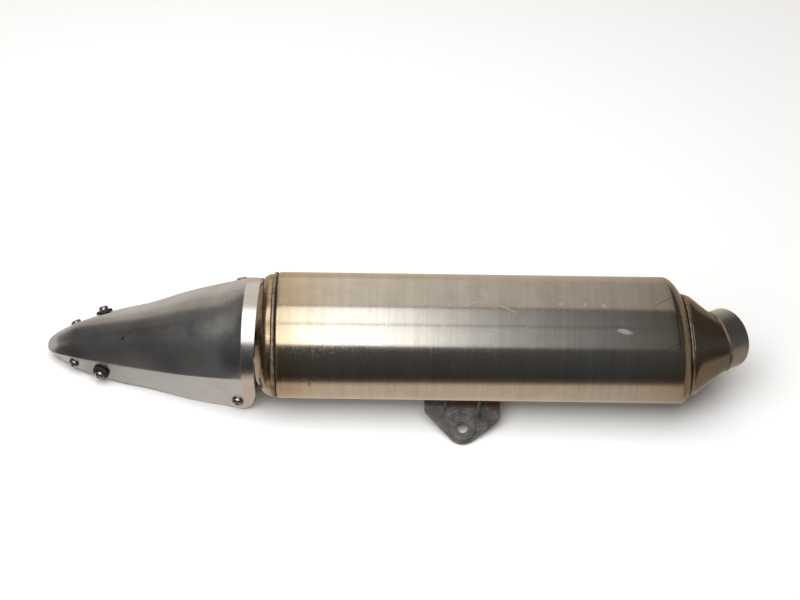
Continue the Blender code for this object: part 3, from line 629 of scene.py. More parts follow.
def skin(rows, closed=True):
    """A sheet that starts as one row of points and is extruded from row to row.

    Gives the bmesh and the vertices of the first and the last row, in order.
    """
    shape = bmesh.new()
    first, edges = line(shape, rows[0], closed)
    place = {vert: index for index, vert in enumerate(first)}
    for row in rows[1:]:
        made = bmesh.ops.extrude_edge_only(shape, edges=edges)["geom"]
        fresh = {}
        for vert in fresh_verts(made):
            source = next(edge.other_vert(vert) for edge in vert.link_edges
                          if edge.other_vert(vert) in place)
            fresh[vert] = place[source]
        edges = [edge for edge in made if isinstance(edge, bmesh.types.BMEdge)
                 and all(vert in fresh for vert in edge.verts)]
        for vert, index in fresh.items():
            vert.co = row[index]
        place = fresh
    last = sorted(place, key=place.get)
    return shape, first, last


def smooth_rows(rows, steps):
    """The same rows with smooth rows between them."""
    made = []
    last = len(rows) - 1
    for index in range(last):
        before = rows[max(index - 1, 0)]
        after = rows[min(index + 2, last)]
        for step in range(steps):
            t = step / steps
            weights = (-t + 2 * t ** 2 - t ** 3, 2 - 5 * t ** 2 + 3 * t ** 3,
                       t + 4 * t ** 2 - 3 * t ** 3, t ** 3 - t ** 2)
            made.append([(a * weights[0] + b * weights[1] + c * weights[2] + d * weights[3]) / 2
                         for a, b, c, d in zip(before, rows[index], rows[index + 1], after)])
    made.append(rows[last])
    return made


def in_metres(points):
    return [(x * MM, y * MM) for x, y in points]


def curve(start, corner, end, t):
    """A point of the curve that leaves start toward corner and ends at end."""
    return start * (1 - t) ** 2 + corner * 2 * t * (1 - t) + end * t ** 2


def rounded(corners, closed=True, steps=3):
    """A profile whose (x, y, radius) corners are eased by that much."""
    made = []
    count = len(corners)
    for index, (x, y, radius) in enumerate(corners):
        here = Vector((x, y))
        if radius == 0 or (not closed and index in (0, count - 1)):
            made.append(here)
            continue
        back = Vector(corners[index - 1][:2])
        ahead = Vector(corners[(index + 1) % count][:2])
        start = here + (back - here).normalized() * min(radius, (back - here).length * 0.49)
        end = here + (ahead - here).normalized() * min(radius, (ahead - here).length * 0.49)
        made += [curve(start, here, end, step / steps) for step in range(steps + 1)]
    return made


def turned(profile, closed, sides=96, centre=Vector(), direction=X_AXIS):
    """A (radius, height) profile turned about an axis."""
    shape = bmesh.new()
    verts, edges = line(shape, [(radius, 0, height) for radius, height in profile], closed)
    bmesh.ops.spin(shape, geom=verts + edges, cent=(0, 0, 0), axis=(0, 0, 1), angle=math.tau,
                   steps=sides, use_merge=True)
    bmesh.ops.transform(shape, matrix=aim(centre, direction), verts=shape.verts)
    return shape


def ripple(distance, pitch, spot):
    """The height of a weld bead's ripples at a distance along it, between 0 and 1."""
    phase = distance / pitch + 0.22 * math.sin(distance / pitch * 0.37) + spot
    return abs(math.sin(math.pi * phase)) ** 0.6


def bead(path, radius, facing, pitch, closed=True, rows=12):
    """A rippled weld bead along a path; facing is the direction that its ripples bow toward."""
    count = len(path)
    centres = []
    distance = 0.0
    for index, point in enumerate(path):
        back = path[index - 1] if closed or index else point
        ahead = path[(index + 1) % count] if closed or index < count - 1 else point
        along = (ahead - back).normalized()
        side = (facing - along * facing.dot(along)).normalized()
        centres.append((point, side, along.cross(side), distance))
        distance += (ahead - point).length
    made = []
    for row in range(rows + 1):
        angle = math.tau * row / rows
        strand = []
        for index, (point, side, rise, run) in enumerate(centres):
            wave = ripple(run, pitch, 0.28 * math.sin(angle))
            wander = 1 + 0.05 * math.sin(run / pitch * 0.9) + 0.04 * math.sin(run / pitch * 0.31 + 1)
            size = radius * (0.86 + 0.13 * wave) * min(1.0, wander)
            if not closed:
                share = index / (count - 1)
                size *= math.sqrt(max(0.0, 1 - (2 * share - 1) ** 24))
            strand.append(point + (side * math.cos(angle) + rise * math.sin(angle)) * size)
        made.append(strand)
    return skin(made, closed)[0]


def place_piece(shape, name, material, nodes, sharp=35):
    """Welds and turns out a shape, puts it where the model lies and lets it stand for its CAD nodes."""
    bmesh.ops.remove_doubles(shape, verts=shape.verts, dist=0.000002)
    bmesh.ops.recalc_face_normals(shape, faces=shape.faces)
    bmesh.ops.transform(shape, matrix=REST, verts=shape.verts)
    made = show(name, shape)
    made.data.materials.append(finish(material))
    made.data.shade_smooth()
    made.data.set_sharp_from_angle(angle=math.radians(sharp))
    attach(made, "root")
    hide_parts(*nodes)
    return made


def wall(piece, thickness):
    """Gives a sheet its thickness, inward from its outer side."""
    step = piece.modifiers.new("wall", "SOLIDIFY")
    step.thickness = thickness
    step.offset = -1
    step.use_even_offset = True


def ease_edges(piece, width, angle=50):
    """Rounds a piece's sharp edges, so that they catch the light."""
    step = piece.modifiers.new("eased edges", "BEVEL")
    step.width = width
    step.segments = 2
    step.limit_method = "ANGLE"
    step.angle_limit = math.radians(angle)
    step.harden_normals = True


DRILL_DEPTH = 24 * MM


def drill(piece, centre, direction, radius):
    """Cuts a round hole through a piece and keeps the result as its mesh."""
    shape = bmesh.new()
    bmesh.ops.create_cone(shape, cap_ends=True, segments=96, radius1=radius, radius2=radius,
                          depth=DRILL_DEPTH)
    bmesh.ops.transform(shape, matrix=REST @ aim(centre, direction), verts=shape.verts)
    cutter = show("cutter", shape)
    step = piece.modifiers.new("hole", "BOOLEAN")
    step.object = cutter
    step.operation = "DIFFERENCE"
    bpy.context.view_layer.update()
    ready = piece.evaluated_get(bpy.context.evaluated_depsgraph_get())
    mesh = bpy.data.meshes.new_from_object(ready)
    piece.modifiers.clear()
    piece.data = mesh
    bpy.data.objects.remove(cutter)
    mesh.set_sharp_from_angle(angle=math.radians(35))


def refined(node, name, material, width):
    """A copy of a CAD node's plain shape with its flat faces joined and its edges rounded."""
    shape = bmesh.new()
    shape.from_mesh(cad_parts[node].data)
    bmesh.ops.remove_doubles(shape, verts=shape.verts, dist=0.00001)
    bmesh.ops.transform(shape, matrix=REST.inverted(), verts=shape.verts)
    bmesh.ops.dissolve_limit(shape, angle_limit=math.radians(0.5), verts=shape.verts,
                             edges=shape.edges, delimit=set())
    made = place_piece(shape, name, material, [node])
    ease_edges(made, width)
    return made


# --- can and inlet -------------------------------------------------------------------------------

CAN_SIDES = 192
CAN_REAR = -115.5 * MM
SHOULDER_X = 257 * MM
SHOULDER_LEAN = 9 * MM
GAP = 0.3 * MM
EDGE_EASE = 0.45 * MM
CONE_WALL = 1.5 * MM
# Weld beads: points round each, and how far they lie inside the joint's radius
BEAD_POINTS = {"rear": 924, "front": 820, "mitre": 546, "tail": 400}
REAR_SINK = 1.7 * MM
FRONT_SINK = 0.5 * MM
MITRE_SINK = 0.4 * MM
TAIL_BEAD = 1.5 * MM
TAIL_RISE = 1.8 * MM


def seam_ring(shift, radius, sides=CAN_SIDES):
    return ring(SEAM_CENTRE + SEAM_NORMAL * shift, SEAM_NORMAL, radius, sides)


def pipe_ring(distance, radius, sides=CAN_SIDES):
    """The pipe's ring that far past the mitre's centre, square to the pipe."""
    return ring(MITRE_CENTRE + PIPE_DIRECTION * distance, PIPE_DIRECTION, radius, sides)


def mitre_ring(shift, radius, sides=CAN_SIDES):
    """The pipe's outline on a plane parallel to the mitre."""
    plane = MITRE_CENTRE + MITRE_NORMAL * shift
    lean = PIPE_DIRECTION.dot(MITRE_NORMAL)
    return [point - PIPE_DIRECTION * ((point - plane).dot(MITRE_NORMAL) / lean)
            for point in pipe_ring(0, radius, sides)]


def can_body():
    """The rolled can: a straight tube that rounds over to its leaning front mouth."""
    sizes = can_sizes()
    lip = seam_ring(-sizes.seam_bead - GAP, sizes.seam_radius)
    tube = ring(Vector(), X_AXIS, sizes.radius, CAN_SIDES)
    rows = []
    for shift, share in ((0, 0.985), (0.7 * MM, 0.993), (1.8 * MM, 1), (6 * MM, 1), (120 * MM, 1)):
        rows.append([point * share + X_AXIS * (CAN_REAR + shift) for point in tube])
    starts = []
    for point in tube:
        starts.append(SHOULDER_X - SHOULDER_LEAN * point.dot(TILT_DIRECTION) / sizes.radius)
    rows.append([point + X_AXIS * (start - 5 * MM) for point, start in zip(tube, starts)])
    steps = 18
    for step in range(steps + 1):
        share = step / steps
        row = []
        for point, end, start_x in zip(tube, lip, starts):
            start = point + X_AXIS * start_x
            corner = point + X_AXIS * (start_x + 0.42 * (end.x - start_x))
            row.append(curve(start, corner, end, share))
        rows.append(row)
    made = place_piece(skin(rows)[0], "can_body", "brushed_steel", ["can_shell"])
    wall(made, sizes.wall)


def inlet_cone():
    """The cone between the can's mouth and the mitred pipe."""
    sizes = can_sizes()
    start = seam_ring(sizes.seam_bead + GAP, sizes.seam_radius)
    collar = seam_ring(6.5 * MM, sizes.seam_radius - 2.2 * MM)
    end = mitre_ring(-sizes.mitre_bead - GAP, sizes.pipe_radius)
    middle = [(a + b) / 2 for a, b in zip(collar, end)]
    rows = smooth_rows([start, collar, middle, end], 8)
    made = place_piece(skin(rows)[0], "cone_body", "brushed_steel", ["inlet_cone"])
    wall(made, CONE_WALL)


def inlet_pipe():
    """The bare inlet pipe, square-cut with an eased rim."""
    sizes = can_sizes()
    start = mitre_ring(sizes.mitre_bead + GAP, sizes.pipe_radius)
    end = pipe_ring(sizes.pipe_length, sizes.pipe_radius)
    near = [a + (b - a) * 0.94 for a, b in zip(start, end)]
    made = place_piece(skin([start, near, end])[0], "pipe_body", "inlet_steel",
                       ["inlet_pipe"])
    wall(made, sizes.pipe_wall)
    ease_edges(made, EDGE_EASE)


def weld_beads():
    """The rippled beads at the rear plate, the front seam, the mitre and the tailpipe."""
    sizes = can_sizes()
    rear = ring(X_AXIS * REAR_BEAD_X, X_AXIS, sizes.radius - REAR_SINK, BEAD_POINTS["rear"])
    front = seam_ring(0, sizes.seam_radius - FRONT_SINK, BEAD_POINTS["front"])
    mitre = mitre_ring(0, sizes.pipe_radius - MITRE_SINK, BEAD_POINTS["mitre"])
    tail = ring(Vector((BULKHEAD_FACE - TAIL_RISE, 0, OUTLET_Z)), X_AXIS,
                sizes.outlet_radius + TAIL_RISE, BEAD_POINTS["tail"])
    beads = (("rear", rear, sizes.rear_bead, X_AXIS, 2.4, "rear_weld_bead"),
             ("front", front, sizes.seam_bead, SEAM_NORMAL, 2.2, "front_weld_bead"),
             ("mitre", mitre, sizes.mitre_bead, MITRE_NORMAL, 2.0, "inlet_weld_bead"),
             ("tail", tail, TAIL_BEAD, X_AXIS, 2.1, "tailpipe_weld_bead"))
    for name, path, radius, facing, pitch, node in beads:
        place_piece(bead(path, radius, facing, pitch * MM), name + "_bead", "weld_steel",
                    [node], 60)


# --- rear plate, tailpipe and inside of the can --------------------------------------------------

BULKHEAD_INSET = 1.3
BULKHEAD_DEPTH = 1.4
OUTLET_CLEARANCE = 0.7 * MM


def rear_plate():
    """The domed rear plate with the hole for the outlet tube."""
    outline = rounded(BULKHEAD_PROFILE, False, 4)[::-1]
    outline += [(max(corner[0] - BULKHEAD_INSET, 0), corner[1] + BULKHEAD_DEPTH)
                for corner in BULKHEAD_PROFILE]
    made = place_piece(turned(in_metres(outline), False, CAN_SIDES), "rear_plate", "heated_steel",
                       ["rear_bulkhead"])
    hole = can_sizes().outlet_radius + OUTLET_CLEARANCE
    drill(made, Vector((BULKHEAD_FACE, 0, OUTLET_Z)), X_AXIS, hole)


TAIL_BEND = 250 * MM
TAIL_BEND_X = -200 * MM
TAIL_TURN = math.radians(14.4)
TAIL_ROOT_X = -131.6 * MM


def tail_pipe():
    """The tailpipe, which turns gently down under the cover."""
    sizes = can_sizes()
    steps = 16
    rows = []
    for step in range(steps, -1, -1):
        angle = TAIL_TURN * step / steps
        point = Vector((TAIL_BEND_X - TAIL_BEND * math.sin(angle), 0,
                        OUTLET_Z - TAIL_BEND * (1 - math.cos(angle))))
        rows.append(ring(point, Vector((math.cos(angle), 0, math.sin(angle))), sizes.outlet_radius, 128))
    rows.append(ring(Vector((TAIL_ROOT_X, 0, OUTLET_Z)), X_AXIS, sizes.outlet_radius, 128))
    made = place_piece(skin(rows)[0], "tail_pipe", "brushed_steel", ["tailpipe"])
    wall(made, sizes.outlet_wall)
    ease_edges(made, 0.4 * MM)


# Tubes inside the can, in mm: y, z, outside radius, rear end and front end
CORE_TUBES = {
    "inlet_core_tube": (0, 24, 25, -62, 250),
    "outlet_core_tube": (0, -28, 20, -131, 122),
    "transfer_tube_upper": (36, -2, 13, -64, 112),
    "transfer_tube_lower": (-36, -2, 13, -64, 112),
}
# Sleeves round the inside, in mm: outside radius, thickness and finish
SLEEVES = {
    "glass_wool_lining": (58.3, 3.3, "glass_wool"),
    "inner_liner": (54.7, 0.8, "inner_steel"),
}
LINING_ENDS = (-112, 240)
CORE_WALL = 1.2


def sleeve(outer, thickness, rear, front, ease):
    corners = [(outer, front, ease), (outer, rear, ease), (outer - thickness, rear, ease),
               (outer - thickness, front, ease)]
    return in_metres(rounded(corners))


def inside_pieces():
    """The core tubes, the liner and its glass wool, and the three baffles."""
    for node, (y, z, radius, rear, front) in CORE_TUBES.items():
        shape = turned(sleeve(radius, CORE_WALL, rear, front, 0.4), True, 96, Vector((0, y, z)) * MM)
        place_piece(shape, node.replace("tube", "pipe"), "inner_steel", [node])
    for node, (outer, thickness, material) in SLEEVES.items():
        shape = turned(sleeve(outer, thickness, *LINING_ENDS, 0.3), True, 128)
        place_piece(shape, node.replace("inner", "perforated").replace("glass", "packed"),
                    material, [node])
    for place in ("front", "middle", "rear"):
        refined(f"{place}_baffle", f"{place}_divider", "inner_steel", 0.3 * MM)


# --- outlet cover --------------------------------------------------------------------------------

def interpolate(table, x):
    """Smooth values between the rows of a table whose x falls from row to row."""
    last = len(table) - 2
    row = 0
    while row < last and x < table[row + 1][0]:
        row += 1
    start, end = table[row], table[row + 1]
    before = table[row - 1] if row > 0 else None
    after = table[row + 2] if row < last else None
    run = end[0] - start[0]
    share = (x - start[0]) / run
    values = []
    for column in range(1, len(start)):
        rise = end[column] - start[column]
        slope_in = rise
        slope_out = rise
        if before:
            slope_in = (end[column] - before[column]) * run / (end[0] - before[0])
        if after:
            slope_out = (after[column] - start[column]) * run / (after[0] - start[0])
        values.append(start[column]
                      + slope_in * (share ** 3 - 2 * share ** 2 + share)
                      + rise * (3 * share ** 2 - 2 * share ** 3)
                      + slope_out * (share ** 3 - share ** 2))
    return values


def cover_values(x):
    """Crown, crease and edge of the cover at a station, in metres."""
    table = COVER_RIM if x >= COVER_RIM[-1][0] else COVER_SLOPE
    return [value * MM for value in interpolate(table, x)]


def crown_height(y, x, crown, crease_z, crease_y):
    """Height of the crown: a round arc at the rim that turns into a parabola."""
    sag = crown - crease_z
    radius = (crease_y ** 2 + sag ** 2) / (2 * sag)
    round_z = crown - radius + math.sqrt(max(radius ** 2 - y ** 2, 0))
    flat_z = crown - sag * (y / crease_y) ** 2
    flatness = min(1, max(0, (COVER_RIM[-1][0] - x) / CROWN_BLEND))
    return round_z + (flat_z - round_z) * flatness


def cover_section(x):
    """The cover's outline at a station as (y, z) points, from the upper edge over the crown to the lower."""
    crown, crease_z, crease_y, edge_z, edge_y = cover_values(x)
    reach = min(cover_sizes().crease, crease_y * 0.3, math.hypot(edge_y - crease_y, edge_z - crease_z) * 0.4)
    stop = 1 - reach / crease_y / 1.6
    half = []
    for step in range(CROWN_STEPS + 1):
        y = crease_y * stop * step / CROWN_STEPS
        half.append(Vector((y, crown_height(y, x, crown, crease_z, crease_y))))
    corner = Vector((crease_y, crease_z))
    edge = Vector((edge_y, edge_z))
    down = corner + (edge - corner).normalized() * reach
    start = half[-1]
    half += [curve(start, corner, down, step / CREASE_STEPS) for step in range(1, CREASE_STEPS)]
    half += [down + (edge - down) * step / WALL_STEPS for step in range(WALL_STEPS + 1)]
    other = [Vector((-point.x, point.y)) for point in half[1:]]
    return half[:0:-1] + [half[0]] + other


def inset(points, distance):
    """The same outline moved inward by the sheet's thickness."""
    moved = []
    last = len(points) - 1
    for index, point in enumerate(points):
        along = (points[min(index + 1, last)] - points[max(index - 1, 0)]).normalized()
        moved.append(Vector((point.x - along.y * distance, point.y + along.x * distance)))
    return moved


def cover_stations():
    """Stations along the cover, close together at the rim, at the bend and at the nose."""
    rim = [-133.4, -133.7, -134.1, -134.8, -135.6, -136.5, -138.5, -141, -144, -145.3, -146, -146.8,
           -148, -150]
    middle = [-150 - 4 * step for step in range(1, 45)]
    nose = [-328.5, -331, -333.5, -335.5, -337.5, -339, -340.2, -341.2, -342, -342.6, -343.1, -343.6]
    return rim + middle + nose


def cover_body():
    """The slipper-shaped outlet cover, open underneath and at its rim."""
    sizes = cover_sizes()
    rows = []
    stations = cover_stations()
    for station in stations:
        section = cover_section(station)
        pull = NOSE_WALL if station == stations[-1] else 0
        skew = max(0, RIM_SKEW * (station - RIM_SKEW_END) / (stations[0] - RIM_SKEW_END))
        outer = [Vector((station * MM + skew * point.x, point.x, point.y)) for point in section]
        inner = [Vector((station * MM + pull + skew * point.x, point.x, point.y))
                 for point in inset(section, sizes.wall)]
        rows.append(outer + inner[::-1])
    shape, first, last = skin(rows)
    count = len(rows[0]) // 2
    for index in range(count - 1):
        shape.faces.new((first[index], first[index + 1], first[-2 - index], first[-1 - index]))
    shape.faces.new(last[:count])
    shape.faces.new(last[count:])
    shape.faces.new((last[0], last[count - 1], last[count], last[-1]))
    made = place_piece(shape, "cover_body", "polished_aluminium",
                       ["cover_shell"], 40)
    ease_edges(made, EDGE_EASE, 60)


def side_point(x, share, sign):
    """A point on the cover's side wall, at a share of the way from crease to edge."""
    _crown, crease_z, crease_y, edge_z, edge_y = cover_values(x)
    y = crease_y + (edge_y - crease_y) * share
    return Vector((x * MM, sign * y, crease_z + (edge_z - crease_z) * share))


def side_frame(x, height, sign):
    """Point and outward normal on the cover's side wall."""
    _crown, crease_z, _crease_y, edge_z, _edge_y = cover_values(x)
    share = (crease_z - height * MM) / (crease_z - edge_z)
    along = (side_point(x + 4, share, sign) - side_point(x - 4, share, sign)).normalized()
    down = side_point(x, share + 0.1, sign) - side_point(x, share - 0.1, sign)
    down = (down - along * down.dot(along)).normalized()
    return side_point(x, share, sign), along.cross(down) * sign


# In mm, from the middle to the socket's flats, and the length of shank under the head without thread
SOCKET_RADIUS = 2.1
PLAIN_SHANK = 3


def cover_screw(row, side, size, point, normal):
    """A button-head screw with a hex socket and a threaded end."""
    seat = size["seat"]
    top = seat + size["height"]
    head = size["head"]
    end = seat - size["shank"]
    shank = cover_sizes().shank_radius / MM
    socket = SOCKET_RADIUS
    profile = [(0, top - 1.9), (socket - 0.2, top - 1.8), (socket, top - 1.6), (socket, top - 0.15),
               (socket + 0.2, top)]
    for step in range(9):
        angle = math.radians(6 + 84 * step / 8)
        profile.append((head * (0.42 + 0.58 * math.sin(angle)),
                        seat + 0.6 + (top - seat - 0.6) * math.cos(angle)))
    profile += [(head, seat + 0.25), (head - 0.25, seat), (shank, seat)]
    thread = seat - PLAIN_SHANK
    profile.append((shank, thread))
    while thread - 1 > end + 0.6:
        profile += [(shank - 0.5, thread - 0.5), (shank, thread - 1)]
        thread -= 1
    profile += [(shank - 0.6, end), (0, end)]
    shape = turned(in_metres(profile), False, 48)
    hexagon = math.pi / 3
    for vert in shape.verts:
        radius = math.hypot(vert.co.y, vert.co.z)
        if vert.co.x > (top - 1.85) * MM and 0 < radius < (socket + 0.1) * MM:
            angle = math.atan2(vert.co.z, vert.co.y) % hexagon - hexagon / 2
            flat = math.cos(hexagon / 2) / math.cos(angle)
            vert.co.y *= flat
            vert.co.z *= flat
    bmesh.ops.transform(shape, matrix=aim(point, normal, "X", "Z"), verts=shape.verts)
    place_piece(shape, f"{row}_button_screw_{side}", "screw_steel",
                [f"{row}_screw_{side}"])


def cover_nut(row, side, size, point, normal):
    """A plain hex nut with eased corners behind the cover."""
    sizes = cover_sizes()
    shape = bmesh.new()
    height = size["nut_height"] * MM
    bmesh.ops.create_cone(shape, cap_ends=True, segments=6, radius1=sizes.nut_radius,
                          radius2=sizes.nut_radius, depth=height)
    caps = [face for face in shape.faces if len(face.verts) == 6]
    bmesh.ops.inset_region(shape, faces=caps, thickness=0.7 * MM)
    for vert in shape.verts:
        reach = math.hypot(vert.co.x, vert.co.y)
        if reach > sizes.nut_radius * 0.97:
            vert.co.z *= 0.86
    centre = point - normal * (size["nut"] * MM + height / 2)
    bmesh.ops.transform(shape, matrix=aim(centre, normal), verts=shape.verts)
    made = place_piece(shape, f"{row}_hex_nut_{side}", "screw_steel",
                       [f"{row}_nut_{side}"], 20)
    ease_edges(made, 0.25 * MM, 25)


# Radius, height over the cover's skin and easing, in mm
GROMMET_PROFILE = ((3.1, 3.5, 0.6), (7.9, 3.5, 1.6), (8.2, 0.4, 0.8), (5, 0.4, 0.4), (5, -2.2, 0.4),
                   (7, -2.2, 0.5), (7, -3.9, 0.8), (3.1, -3.9, 0.5))


def cover_grommet(side, point, normal):
    """The rubber ring round the middle screw."""
    shape = turned(in_metres(rounded(GROMMET_PROFILE, steps=5)), True, 64, point, normal)
    place_piece(shape, f"rubber_ring_{side}", "black_rubber",
                [f"middle_grommet_{side}"])


# --- hanger --------------------------------------------------------------------------------------

PLATE_X = (24 * MM, 96 * MM)
HOLE_CENTRE = Vector((60.3, -84.5, 0)) * MM
RIGHT_CORNER = Vector((90, -72.5, 0)) * MM
LEFT_CORNER = Vector((30, -66.1, 0)) * MM
CORNER_RADIUS = 6 * MM
BOSS_NECK = 8 * MM
FOOT_ANGLE = math.radians(42)
FOOT_BEAD = 1.5 * MM


def hanger_path():
    """The sheet's line as (y, z), from the flat plate over the bend and round the can from behind."""
    sizes = hanger_sizes()
    contact = can_sizes().radius + GAP
    bend_z = PLATE_FRONT - sizes.bend
    bend_y = -math.sqrt((contact + sizes.bend) ** 2 - bend_z ** 2)
    meet = math.atan2(-bend_z, -bend_y)
    path = []
    for step in range(33):
        angle = FOOT_ANGLE + (meet - FOOT_ANGLE) * step / 32
        path.append((-contact * math.cos(angle), -contact * math.sin(angle)))
    for step in range(1, 17):
        angle = meet + (math.pi / 2 - meet) * step / 16
        path.append((bend_y + sizes.bend * math.cos(angle), bend_z + sizes.bend * math.sin(angle)))
    return path[::-1]


def tangent_angle(start, start_radius, end, end_radius):
    """The angle of the common tangent's normal, below two corner discs."""
    between = end - start
    lean = math.acos((start_radius - end_radius) / between.length)
    return math.atan2(between.y, between.x) + lean


def arc(centre, radius, start, end, steps):
    points = []
    for step in range(steps + 1):
        angle = start + (end - start) * step / steps
        points.append(Vector((centre.x + radius * math.cos(angle),
                              centre.y + radius * math.sin(angle), PLATE_FRONT)))
    return points


def hanger_plate():
    """The bent hanger plate, filled round its hole, drawn out over the bend and given its thickness."""
    sizes = hanger_sizes()
    path = hanger_path()
    right = tangent_angle(RIGHT_CORNER, CORNER_RADIUS, HOLE_CENTRE, sizes.tip)
    left = tangent_angle(HOLE_CENTRE, sizes.tip, LEFT_CORNER, CORNER_RADIUS) - math.tau
    outline = [Vector((x, path[0][0], PLATE_FRONT)) for x in PLATE_X]
    outline += arc(RIGHT_CORNER, CORNER_RADIUS, 0, right, 12)
    outline += arc(HOLE_CENTRE, sizes.tip, right, left, 40)
    outline += arc(LEFT_CORNER, CORNER_RADIUS, left, -math.pi, 12)
    shape = bmesh.new()
    edges = line(shape, outline, True)[1]
    strip = edges[:1]
    edges += line(shape, arc(HOLE_CENTRE, BOSS_NECK + GAP, 0, math.tau, 64)[:-1], True)[1]
    bmesh.ops.triangle_fill(shape, use_beauty=True, use_dissolve=False, edges=edges)
    for y, z in path[1:]:
        made = bmesh.ops.extrude_edge_only(shape, edges=strip)["geom"]
        strip = [edge for edge in made if isinstance(edge, bmesh.types.BMEdge)
                 and all(vert in made for vert in edge.verts)]
        for vert in fresh_verts(made):
            vert.co.yz = (y, z)
    bmesh.ops.recalc_face_normals(shape, faces=shape.faces)
    flat = next(face for face in shape.faces if abs(face.normal.z) > 0.99)
    if flat.normal.z < 0:
        bmesh.ops.reverse_faces(shape, faces=shape.faces)
    bmesh.ops.solidify(shape, geom=shape.faces[:], thickness=sizes.wall)
    made = place_piece(shape, "hanger_sheet", "hanger_steel", ["hanger_plate"])
    ease_edges(made, EDGE_EASE)
    made.visible_glossy = False


def hanger_boss():
    """The raised boss with its bolt hole."""
    sizes = hanger_sizes()
    face = PLATE_FRONT + GAP
    back = PLATE_FRONT - sizes.wall - 0.5 * MM
    top = face + 2 * MM
    corners = [(sizes.hole, top, 0.5 * MM), (sizes.boss, top, 0.7 * MM), (sizes.boss, face, 0.15 * MM),
               (BOSS_NECK, face, 0.1 * MM), (BOSS_NECK, back, 0.4 * MM), (sizes.hole, back, 0.4 * MM)]
    shape = turned(rounded(corners), True, 96, HOLE_CENTRE, Z_AXIS)
    made = place_piece(shape, "bolt_boss", "hanger_steel", ["hanger_boss"])
    made.visible_glossy = False


def hanger_gussets():
    """The two thin triangles in the corner between the can and the plate."""
    for end in ("front", "rear"):
        made = refined(f"hanger_gusset_{end}", f"gusset_{end}", "hanger_steel", 0.5 * MM)
        made.visible_glossy = False


def hanger_weld():
    """The weld along the foot's free edge, behind the can."""
    sizes = can_sizes()
    radius = FOOT_BEAD
    lean = FOOT_ANGLE + (radius + GAP) / sizes.radius + 0.005
    distance = sizes.radius + radius + GAP
    start = PLATE_X[0] + 2 * MM
    run = PLATE_X[1] - PLATE_X[0] - 4 * MM
    steps = 260
    path = [Vector((start + run * step / steps, -distance * math.cos(lean), -distance * math.sin(lean)))
            for step in range(steps + 1)]
    facing = Vector((0, -math.cos(lean), -math.sin(lean)))
    place_piece(bead(path, radius, facing, 2.3 * MM, closed=False), "foot_bead", "weld_steel",
                ["hanger_weld_bead"], 60)


# --- stage ---------------------------------------------------------------------------------------

FOCAL_LENGTH = 82.9
CAMERA_DISTANCE = 1.754
CAMERA_LEAN = math.radians(15)
CAMERA_ROLL = math.radians(0.8)
CAMERA_PITCH = math.radians(1.135)


def stage_camera():
    """A long-lens camera above the muffler, looking down on the cover's face from the hanger's side."""
    turn = REST.to_3x3()
    out = turn @ Vector((0, -math.sin(CAMERA_LEAN), math.cos(CAMERA_LEAN)))
    rise = turn @ Vector((0, math.cos(CAMERA_LEAN), math.sin(CAMERA_LEAN)))
    right = X_AXIS * math.cos(CAMERA_ROLL) + rise * math.sin(CAMERA_ROLL)
    upward = rise * math.cos(CAMERA_ROLL) - X_AXIS * math.sin(CAMERA_ROLL)
    back = out * math.cos(CAMERA_PITCH) - upward * math.sin(CAMERA_PITCH)
    upward = upward * math.cos(CAMERA_PITCH) + out * math.sin(CAMERA_PITCH)
    data = bpy.data.cameras.new("camera")
    data.lens = FOCAL_LENGTH
    data.sensor_width = 36
    data.clip_start = 0.05
    data.clip_end = 60
    made = show("camera", data)
    axes = Matrix((right, upward, back)).transposed().to_4x4()
    made.matrix_world = Matrix.Translation(REST.translation + out * CAMERA_DISTANCE) @ axes
    bpy.context.scene.camera = made


def stage_floor():
    """A plain pale floor under the muffler."""
    shape = bmesh.new()
    bmesh.ops.create_grid(shape, x_segments=1, y_segments=1, size=12)
    material = bpy.data.materials.new("floor")
    material.use_nodes = True
    shader = material.node_tree.nodes["Principled BSDF"]
    shader.inputs["Base Color"].default_value = tint("floor")
    shader.inputs["Roughness"].default_value = 0.9
    shader.inputs["Specular IOR Level"].default_value = 0.0
    made = show("floor", shape)
    made.data.materials.append(material)
    made.location.z = -0.5 * MM
    made.visible_glossy = False


PANEL_ANGLE = math.radians(69.5)
PANEL_DISTANCE = 0.6
PANEL_GAP = 0.010
PANEL_EDGES = (-0.44, 0.365)
PANEL_ENDS = (-1.25, 0.6)
# Place along X in metres, and the share of the full light there
PANEL_FADE = ((-1.22, 0.01), (-1.0, 0.02), (-0.85, 0.04), (-0.74, 0.07), (-0.66, 0.10), (-0.57, 0.25),
              (-0.50, 0.75), (-0.46, 1.0), (-0.03, 0.95), (0.04, 0.56), (0.10, 0.30), (0.17, 0.175),
              (0.23, 0.115), (0.30, 0.08), (0.38, 0.04), (0.55, 0.0))
PANEL_POWER = 2.1


